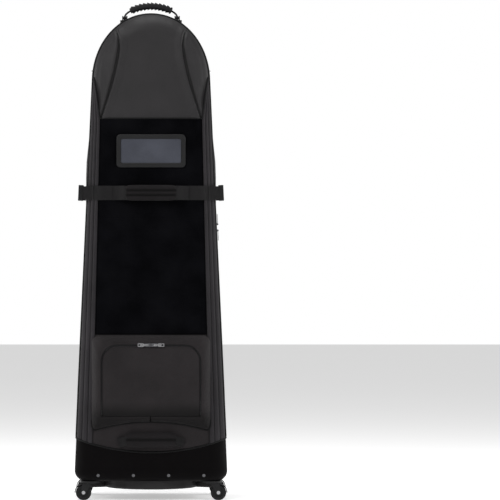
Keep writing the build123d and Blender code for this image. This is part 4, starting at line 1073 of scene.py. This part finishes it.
class CASE_OT_shoe_pocket(bpy.types.Operator):
    """Shoe pocket with its arched zip and its flap"""

    bl_idname = "travel_case.shoe_pocket"
    bl_label = "Shoe pocket"

    def execute(self, context):
        """The body's rows run from the lid up the side, round the edge and in to the zip's line.

        The flap's rows run from the zip's line to its middle. Both stand off the front face by the
        rounded box, and the flap swells as a cosine both ways.
        """
        sizes = context.scene.case_sizes
        outside = pocket_ring(POCKET_HALF, POCKET_FOOT, POCKET_HEAD + 0.002, 0.012, 0.020)
        line = pocket_ring(0.1278, 0.2175, 0.4008, 0.0040, 0.0435)
        low = 1 - smooth((outside[:, 1] - POCKET_FOOT) / 0.02)
        outside[:, 1] += low * (0.008 - 0.024 * (outside[:, 0] / POCKET_HALF) ** 2)
        rows = []
        for share in np.linspace(0, 1, 26):
            across = 0.5 * (1 - math.cos(share * math.pi / 2)) + 0.5 * share
            flat = outside + (line - outside) * across
            rise = math.sin(share * math.pi / 2)
            height = pocket_face(flat[:, 1]) * rise
            rows.append(np.stack([flat[:, 0], front_at(flat[:, 1]) - height, flat[:, 1]], 1))
        outer = np.array(rows)
        inner = outer - normals_of(outer, np.array([0, front_at(0.3) - 0.01, 0.3])) * 0.0035
        inner[0, :, 1] = outer[0, :, 1]
        # Painted shade along the pocket's edges and on its underside, darker towards the bottom.
        painted_shade = np.zeros(outer.shape[:2])
        painted_shade[-1], painted_shade[0], painted_shade[1] = 0.5, 0.7, 0.3
        painted_shade += 0.75 * (1 - smooth((outer[..., 2] - 0.2) / 0.05))
        body = piece("pocket_sides", shell(outer, inner), "lid",
                     lined("pocket_cloth"), ["pocket_body"],
                     crease=outer_only(painted_shade))

        rim = pocket_ring(FLAP_HALF, FLAP_FOOT, FLAP_HEAD, 0.003, FLAP_ROUND)
        v = np.sin(np.linspace(-0.5, 0.5, 101) * np.pi)[:, None] / 2 + 0.5
        u = np.sin(np.linspace(-0.5, 0.5, 121) * np.pi)[None, :]
        z = FLAP_FOOT + (FLAP_HEAD - FLAP_FOOT) * v
        over = np.clip((z - (FLAP_HEAD - FLAP_ROUND)) / FLAP_ROUND, 0, 1)
        x = u * (FLAP_HALF - FLAP_ROUND * (1 - np.sqrt(1 - over**2)))
        z = np.broadcast_to(z, x.shape)
        high = (z - FLAP_FOOT) / (FLAP_HEAD - FLAP_FOOT)
        dome = np.cos(np.pi / 2 * np.abs(u)) ** 0.6 * np.sin(np.pi * np.clip(high, 0, 1) ** 0.72) ** 0.7
        crease = 0.0006 * np.sin(x * 95 + np.sin(z * 60) * 1.4) * np.clip(dome * 2, 0, 1)
        edge_off = np.minimum(1 - np.abs(u) + 0 * z, 1 - high + 0.0 * u)
        tuck = 0.0014 * (1 - smooth(edge_off / 0.03))
        lift = pocket_face(z) + sizes.pocket_puff * dome + crease - tuck
        outer = np.stack([x, front_at(z) - lift, z], -1)
        inner = outer + [0, 0.0032, 0]
        flap = shell(outer, inner)
        # Painted shade round the flap's tucked edges and under its lower part, where it curves in.
        flap_painted_shade = 0.6 * (1 - smooth(edge_off / 0.008)) + 0.85 * (1 - smooth(high / 0.24))
        flap_painted_shade = outer_only(flap_painted_shade)
        inner_y = front_at(rim[:, 1]) - pocket_face(rim[:, 1]) + ZIP_SEAT
        inner_line = np.stack([rim[:, 0], inner_y, rim[:, 1]], 1)

        def tape_between(near, far, low):
            """Zip tape between two matching lines on the pocket's face."""
            grid = near[None] + (far - near)[None] * np.linspace(0, 1, 5)[:, None, None]
            keep_row = (near[:, 1] > low)
            keep = np.repeat((keep_row[:-1] & keep_row[1:])[None], 4, 0)
            top = np.stack([grid[..., 0], front_at(grid[..., 1]) - pocket_face(grid[..., 1]) + ZIP_SEAT,
                            grid[..., 1]], -1)
            return with_finish(shell(top, top + [0, TAPE_THICK, 0], keep), 0)

        middle = pocket_ring(0.1260, FLAP_FOOT, 0.399, 0.0035, 0.042)
        shape = bead(0.0040, 0.0016, 0.0017)
        arch = middle[middle[:, 1] > 0.221]
        start = int(np.argmax(arch[:, 0] > 0.12))
        arch3 = np.stack([arch[:, 0], front_at(arch[:, 1]) - pocket_face(arch[:, 1]) + 0.0008, arch[:, 1]], 1)
        arch3 = arch3[start:]
        normal_up = np.array([0.0, -1.0, 0.0])
        tangent = np.gradient(arch3, axis=0)
        side = np.cross(tangent, normal_up)
        for name, near, far, body_name, nodes, slot_name, shift in (
            ("pocket_tape", middle * [1.0006, 1], line, "lid", ["pocket_zip"], "zip_tape", 0.0),
            ("flap_tape", rim, middle * [0.9994, 1], "pocket_flap", [], "zip_tape", 0.5),
        ):
            teeth = beads_along(arch3, side, shape, 0.0030, math.pi / 2 * 0.92, start=shift * 0.0030)
            piece(name, joined(tape_between(near, far, 0.2195), with_finish(teeth, 1)), body_name,
                  [finish("tape_cloth"), finish("coil_teeth")], nodes)
        flap_piece = piece("pocket_flap_face", flap, "pocket_flap",
                           lined("pocket_cloth"), ["pocket_flap"],
                           crease=flap_painted_shade)
        edge = inner_line[inner_line[:, 2] > 0.222]
        start = int(np.argmax(edge[:, 0] > 0.115))
        stitches = beads_along(edge[start:] * [0.965, 1, 0.9975] + [0, -0.0014, 0.0], DEEP,
                               bead(STITCH_LONG, STITCH_WIDE, STITCH_WIDE), sizes.stitch_pitch)
        piece("flap_stitching", stitches, "pocket_flap", [finish("thread")])
        base = outside[outside[:, 1] < 0.213]
        base = np.vstack([base[base[:, 0] < 0], base[base[:, 0] >= 0]])
        base = base[np.argsort(base[:, 0], kind="stable")]
        base = even(base, 160)
        loop = np.stack([base[:, 0], front_at(base[:, 1]) - 0.0016, base[:, 1]], 1)
        piece("pocket_cord", tube(loop, DEEP, 0.0021), "lid",
              [finish("cord_cloth")])
        return {"FINISHED"}


def leaning(part, z, y):
    """A part worked out upright at the origin, leant back with the front face and put at a height."""
    points = part[0].copy()
    lean = math.atan(LEAN)
    turned = points.copy()
    turned[:, 1] = points[:, 1] * math.cos(lean) + points[:, 2] * math.sin(lean) + y
    turned[:, 2] = points[:, 2] * math.cos(lean) - points[:, 1] * math.sin(lean) + z
    return turned, part[1], part[2], part[3]


def rib_seam_painted_shade(part, half_height, ribs):
    """Painted shade of a pad: how deep each point lies in the seams that part its rows, a bell across each
    seam.
    """
    seams = half_height * (2 * np.arange(1, ribs) / ribs - 1)
    return np.exp(-(((part[0][:, 2:3] - seams[None, :]) / 0.0022) ** 2)).sum(1)


def handle_arch(x):
    """Height of the top handle's middle at x, by a circle's arc, and that circle's radius."""
    radius = (HANDLE_HALF**2 + HANDLE_SAG**2) / (2 * HANDLE_SAG)
    return HANDLE_TOP - radius + np.sqrt(radius**2 - x**2), radius


class CASE_OT_grips(bpy.types.Operator):
    """Padded grips on the lid and the ribbed rubber grip on the crown"""

    bl_idname = "travel_case.grips"
    bl_label = "Grips"

    def execute(self, context):
        """Two stuffed grips with sewn rows, and an arch whose thickness follows a saw tooth."""
        sizes = context.scene.case_sizes
        cloth = [finish("grip_cloth")]
        upright = pad(GRIP_HALF, MIDDLE_GRIP_HALF, 0.0072, sizes.grip_ribs, 0.45)
        # Painted shade in the seams between the grip's padded rows.
        painted_shade = rib_seam_painted_shade(upright, MIDDLE_GRIP_HALF, sizes.grip_ribs)
        grip = piece("middle_grip", leaning(upright, BAND_Z, front_at(BAND_Z) - MIDDLE_GRIP_OFF),
                     "mid_handle", cloth, ["mid_grip"], crease=painted_shade)
        upright = pad(GRIP_HALF, LOWER_GRIP_HALF, 0.0060, LOWER_GRIP_ROWS, 0.50)
        painted_shade = rib_seam_painted_shade(upright, LOWER_GRIP_HALF, LOWER_GRIP_ROWS)
        low = leaning(upright, LOWER_GRIP_Z, front_at(LOWER_GRIP_Z) - LOWER_GRIP_OFF)
        grip = piece("lower_grip", low, "lower_handle", cloth, ["low_grip"], crease=painted_shade)

        rows, around = 241, 40
        s = np.linspace(-1, 1, rows)
        x = HANDLE_HALF * s
        z, radius = handle_arch(x)
        tooth = 1.04 - 0.40 * np.abs(((s * 5.5) % 1.0) - 0.12)
        close = np.power(np.clip(1 - np.abs(s) ** 20, 0, 1), 1 / 6)
        turn = np.linspace(0, 2 * np.pi, around, endpoint=False)
        high = np.sign(np.sin(turn)) * np.abs(np.sin(turn)) ** 0.55
        deep = np.sign(np.cos(turn)) * np.abs(np.cos(turn)) ** 0.55
        thick = 0.0098 * (tooth * close)[:, None] * high[None, :]
        thick = np.where(high[None, :] > 0, thick, thick * 0.92)
        wide = 0.0130 * close[:, None] * deep[None, :] * (0.96 + 0.04 * tooth[:, None])
        tilt = x / radius
        rings = np.stack([x[:, None] + thick * tilt[:, None], MIDDLE_Y + wide,
                          z[:, None] + thick * np.sqrt(1 - tilt**2)[:, None]], -1)
        faces = cells_of(rows, around, wrap=True)
        arch = (rings.reshape(-1, 3), faces, np.zeros(len(faces), int), lengths_of(rings).reshape(-1, 2))
        piece("top_grip_rubber", arch, "top_handle", [finish("grip_rubber_skin")],
              ["top_grip"], sharp=30)
        return {"FINISHED"}


class CASE_OT_webbing(bpy.types.Operator):
    """Bands and straps"""

    bl_idname = "travel_case.webbing"
    bl_label = "Webbing"

    def execute(self, context):
        """Every strap is a ribbon along a line on the skin or between its two sewn ends."""
        sizes = context.scene.case_sizes
        web = [finish("strap_web")]
        thick = sizes.web_thickness
        half = side_at(BAND_Z)
        flat = np.linspace(0, half - EDGE, 60)
        turn = np.linspace(0, math.acos(1 - 0.0305 / EDGE), 26)[1:]
        x = np.concatenate([flat, half - EDGE + EDGE * np.sin(turn)])
        y = np.concatenate([np.zeros(60), EDGE * (1 - np.cos(turn))])
        out_x = np.concatenate([np.zeros(60), np.sin(turn)])
        out_y = np.concatenate([np.ones(60), np.cos(turn)])
        lift = 0.0023
        line = np.stack([x + out_x * lift, front_at(BAND_Z) + y - out_y * lift, np.full(len(x), BAND_Z)], 1)
        line = np.vstack([line[::-1], line[1:] * [-1, 1, 1]])
        lean = np.array([0.0, LEAN, 1.0])
        piece("band", ribbon(line, lean, BAND_HEIGHT, thick, 9), "lid", web, ["band_webbing"])

        face = front_at(BAND_Z)
        for side, name in ((-1, "left"), (1, "right")):
            t = np.linspace(0, 1, 24)
            x = side * (0.0600 + (0.0970 - 0.0600) * t)
            y = face - MIDDLE_GRIP_OFF + (MIDDLE_GRIP_OFF - 0.0052) * smooth(t)
            line = np.stack([x, y, np.full(24, BAND_Z)], 1)
            strap = piece("middle_strap_" + name, ribbon(line, lean, BAND_HEIGHT * 0.97, thick), None,
                          web)
            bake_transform(strap)
            if side > 0:
                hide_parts("mid_webbing")
        z = 0.156
        rows = []
        for side in (-1, 1):
            t = np.linspace(0, 1, 20)
            x = side * (0.060 + (0.084 - 0.060) * t)
            y = front_at(z) - LOWER_GRIP_OFF + (LOWER_GRIP_OFF - 0.0045) * smooth(t)
            line = np.stack([x, y, z - 0.006 * t], 1)
            rows.append(ribbon(line, lean, 0.024, 0.003))
        piece("lower_straps", joined(*rows), "lower_handle", web, ["low_webbing"])

        seat = np.array([half, front_at(BAND_Z) + ZIP_DEPTH])
        level = BUCKLE_OFF
        for side, name in ((-1, "left"), (1, "right")):
            t = smooth(np.linspace(0, 1, 26))
            ahead = PLUG_AHEAD + (STRAP_AHEAD - PLUG_AHEAD) * np.linspace(0, 1, 26)
            foot_up = math.sqrt((EDGE + 0.0042) ** 2 - (STRAP_AHEAD - ZIP_DEPTH + EDGE) ** 2) - EDGE
            up = level + (foot_up - level) * t
            line = np.stack([side * (seat[0] + up), seat[1] - ahead, np.full(26, BAND_Z)], 1)
            strap = piece("front_strap_" + name, ribbon(line, UPRIGHT, 0.035, thick), None, web)
            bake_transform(strap)
            if side > 0:
                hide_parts("side_straps")
        back = np.linspace(0.036, 0.096, 60)
        total = rear_at(BAND_Z) - front_at(BAND_Z) - EDGE - ZIP_DEPTH - HALF_ZIP
        share = np.clip((back - HALF_ZIP) / total, 0, 1)
        skin = sizes.wall_puff * 0.9 * np.sin(np.pi * share) ** 0.7 + 0.0016
        bridge = level + (skin - level) * smooth((back - 0.040) / 0.030)
        line = np.stack([seat[0] + np.maximum(bridge, skin), seat[1] + back, np.full(60, BAND_Z)], 1)
        rear = ribbon(line, UPRIGHT, 0.036, thick)
        piece("rear_straps", joined(rear, mirrored(rear)), "case", web, ["case_straps"])

        x = HANDLE_CORE * np.linspace(-1, 1, 90)
        line = np.stack([x, np.full(90, MIDDLE_Y), handle_arch(x)[0]], 1)
        leg = np.array([[HANDLE_CORE, 1.2625], [0.060, 1.2585], [0.0655, 1.2535],
                        [HANDLE_PIN_X, 1.2485], [HANDLE_PIN_X, 1.2395]])
        leg = even(leg, 20)
        leg3 = np.stack([leg[:, 0], np.full(20, MIDDLE_Y), leg[:, 1]], 1)
        line = np.vstack([leg3[::-1] * [-1, 1, 1], line[1:-1], leg3])
        strap = ribbon(line, DEEP, 0.020, 0.0042)
        eyes = []
        for side in (-1, 1):
            t = np.linspace(-1, 1, 9)
            pin = np.stack([side * HANDLE_PIN_X + 0.0034 * t, np.full(9, MIDDLE_Y), np.full(9, 1.244)], 1)
            eyes.append(tube(pin, DEEP, 0.0048, sides=20))
        piece("top_handle_strap", joined(strap, *eyes), "top_handle", web, ["top_strap"])
        return {"FINISHED"}


class CASE_OT_inside(bpy.types.Operator):
    """Straps across the back, inside"""

    bl_idname = "travel_case.inside"
    bl_label = "Inside"

    def execute(self, context):
        """Two ribbons that lie on the inside of the back, each with an oblong ring in the middle."""
        parts = []
        for height in INNER_STRAPS:
            half = side_at(height) - EDGE
            x = np.linspace(-half, half, 80)
            y = rear_at(height) - WALL - 0.0012 - 0.0006 * np.abs(np.sin(x * 40))
            line = np.stack([x, y, np.full(80, height)], 1)
            parts.append(ribbon(line, np.array([0.0, -LEAN, 1.0]), 0.038, 0.0016))
        straps = with_finish(joined(*parts), 0)
        rings = []
        for height in INNER_STRAPS:
            turn = np.linspace(0, 2 * np.pi, 48, endpoint=False)
            x = 0.0145 * np.sign(np.cos(turn)) * np.abs(np.cos(turn)) ** 0.4
            z = 0.0205 * np.sign(np.sin(turn)) * np.abs(np.sin(turn)) ** 0.4
            line = np.stack([x, np.full(48, rear_at(height) - WALL - INNER_RING_OFF), height + z], 1)
            rings.append(tube(line, DEEP, 0.0025, closed=True))
            bar = np.stack([np.zeros(12), np.full(12, rear_at(height) - WALL - INNER_RING_OFF),
                            height + np.linspace(-0.0205, 0.0205, 12)], 1)
            rings.append(tube(bar, DEEP, 0.0022))
        rings = with_finish(joined(*rings), 1)
        piece("inside_straps", joined(straps, rings), "case",
              [finish("strap_web"), finish("coil_teeth")], ["inner_straps"])
        return {"FINISHED"}


class CASE_OT_hard_parts(bpy.types.Operator):
    """Finishes of the moulded and metal parts"""

    bl_idname = "travel_case.hard_parts"
    bl_label = "Hard parts"

    def execute(self, context):
        """Each group of parts takes its own moulded, rubber or metal finish."""
        hues = context.scene.case_colours
        groups = {
            moulded("tray_moulding", hues.tray, 0.5, 700.0): ["base_tray"],
            woven("board_cloth", hues.lining, 0.0014, use_uv=False): ["base_board"],
            moulded("buckle_moulding", hues.buckle, 0.38, 900.0): [
                "buckle_sockets", "buckle_plug_left", "buckle_plug_right", "caster_cups", "top_handle_feet",
            ] + ["caster_fork_" + c for c in ("front_left", "front_right", "rear_left", "rear_right")],
            moulded("badge_rubber_skin", hues.rubber, 0.5, 900.0): ["badge_frame"],
            moulded("badge_plate_skin", hues.badge, 0.34, 1200.0, 0.00008, metal=0.35): ["badge_plate"],
            moulded("wheel_tread", hues.rubber, 0.55, 500.0): [
                "rear_wheel_left", "rear_wheel_right",
            ] + ["caster_wheel_" + c for c in ("front_left", "front_right", "rear_left", "rear_right")],
            moulded("rivet_metal", hues.rivet, 0.34, 400.0, 0.00005, metal=1.0): [
                "skirt_rivets", "base_screws",
            ],
            moulded("axle_metal", hues.steel, 0.3, 400.0, 0.00005, metal=1.0): [
                "rear_wheel_axles",
            ] + ["caster_axle_" + c for c in ("front_left", "front_right", "rear_left", "rear_right")],
            moulded("slider_metal_skin", hues.slider, 0.3, 500.0, 0.00005, metal=1.0): [
                "main_slider_upper", "main_slider_lower", "pocket_slider_left", "pocket_slider_right",
            ],
            moulded("pull_metal_skin", hues.steel, 0.28, 500.0, 0.00005, metal=1.0): [
                "main_pull_upper", "main_pull_lower", "pocket_pull_left", "pocket_pull_right",
            ],
        }
        for material, names in groups.items():
            for name in names:
                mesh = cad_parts[name].data
                mesh.materials.clear()
                mesh.materials.append(material)
        return {"FINISHED"}


class CASE_OT_studio(bpy.types.Operator):
    """Floor, soft light and camera"""

    bl_idname = "travel_case.studio"
    bl_label = "Studio"

    def execute(self, context):
        """The floor is one flat square sheet, and the room behind it is plain white."""
        hues = bpy.context.scene.case_colours
        u = np.linspace(-FLOOR_HALF, FLOOR_HALF, 41)
        grid = np.stack(np.broadcast_arrays(u[None, :], u[:, None], 0.0), -1)
        faces = cells_of(len(u), len(u))
        mesh = bpy.data.meshes.new("backdrop")
        mesh.from_pydata(grid.reshape(-1, 3).tolist(), [], faces[:, ::-1].tolist())
        mesh.shade_smooth()
        material, tree, shader = new_finish("backdrop_paper", 0.9, specular=0.1)
        place = node(tree, "ShaderNodeTexCoord").outputs["Object"]
        tinted(tree, shader, hues.floor, 0.01, 1.0, 60.0, place)
        shader.inputs["Emission Color"].default_value = (1, 1, 1, 1)
        shader.inputs["Emission Strength"].default_value = 0.45
        mesh.materials.append(material)
        floor = bpy.data.objects.new("backdrop", mesh)
        bpy.context.scene.collection.objects.link(floor)

        scene = bpy.context.scene
        scene.view_settings.view_transform = "Standard"
        world = bpy.data.worlds.new("soft_room")
        world.use_nodes = True
        tree = world.node_tree
        tree.nodes.clear()
        seen = node(tree, "ShaderNodeBackground", Color=(1, 1, 1, 1), Strength=1.0)
        lit = node(tree, "ShaderNodeBackground", Color=(1, 1, 1, 1), Strength=ROOM_LIGHT)
        ray = node(tree, "ShaderNodeLightPath")
        either = node(tree, "ShaderNodeMixShader")
        tree.links.new(ray.outputs["Is Camera Ray"], either.inputs[0])
        tree.links.new(lit.outputs[0], either.inputs[1])
        tree.links.new(seen.outputs[0], either.inputs[2])
        tree.links.new(either.outputs[0], node(tree, "ShaderNodeOutputWorld").inputs[0])
        scene.world = world
        for name, place, turn, size, power in (
            ("key", (-1.6, -2.6, 2.6), (52, 0, -32), 1.6, 60),
            ("fill", (2.2, -2.4, 1.6), (68, 0, 42), 1.8, 30),
            ("over", (0.0, -0.2, 3.4), (4, 0, 0), 1.8, 45),
            ("rim_left", (-2.4, 0.6, 1.2), (82, 0, -104), 1.2, 22),
            ("rim_right", (2.4, 0.6, 1.2), (82, 0, 104), 1.2, 22),
        ):
            light = bpy.data.lights.new(name, "AREA")
            light.size, light.energy = size, power
            lamp = bpy.data.objects.new(name, light)
            lamp.location = place
            lamp.rotation_euler = [math.radians(a) for a in turn]
            scene.collection.objects.link(lamp)

        camera = bpy.data.cameras.new("front_camera")
        camera.lens = LENS
        camera.sensor_width = SENSOR
        camera.shift_x = 0.198
        eye = bpy.data.objects.new("front_camera", camera)
        eye.location = (0.0, -0.05 - VIEW_HEIGHT * LENS / SENSOR, 0.642)
        eye.rotation_euler = (math.radians(90), 0, 0)
        scene.collection.objects.link(eye)
        scene.camera = eye
        return {"FINISHED"}


PIECES = (
    CASE_OT_lid_front,
    CASE_OT_lid_border,
    CASE_OT_rear_walls,
    CASE_OT_skirt,
    CASE_OT_zip_and_cords,
    CASE_OT_shoe_pocket,
    CASE_OT_grips,
    CASE_OT_webbing,
    CASE_OT_inside,
    CASE_OT_hard_parts,
    CASE_OT_studio,
)


class CASE_PT_sidebar(bpy.types.Panel):
    """Sizes, colours and the pieces of the travel case"""

    bl_idname = "CASE_PT_sidebar"
    bl_label = "Travel Case"
    bl_space_type = "VIEW_3D"
    bl_region_type = "UI"
    bl_category = "Travel Case"

    def draw(self, context):
        """Lists the sizes, the colours and a button for each group of pieces."""
        for group in (context.scene.case_sizes, context.scene.case_colours):
            box = self.layout.box()
            for key in type(group).__annotations__:
                box.prop(group, key)
        for made in PIECES:
            self.layout.operator(made.bl_idname)


CLASSES = (CaseSizes, CaseColours) + PIECES + (CASE_PT_sidebar,)


def register():
    """Registers the classes and puts the sizes and colours on the scene."""
    for made in CLASSES:
        bpy.utils.register_class(made)
    bpy.types.Scene.case_sizes = bpy.props.PointerProperty(type=CaseSizes)
    bpy.types.Scene.case_colours = bpy.props.PointerProperty(type=CaseColours)


def unregister():
    """Takes the classes and the scene's settings away again."""
    del bpy.types.Scene.case_colours
    del bpy.types.Scene.case_sizes
    for made in reversed(CLASSES):
        bpy.utils.unregister_class(made)


def main():
    """Builds every piece."""
    register()
    for made in PIECES:
        group, call = made.bl_idname.split(".")
        getattr(getattr(bpy.ops, group), call)()


if __name__ == "__main__":
    main()
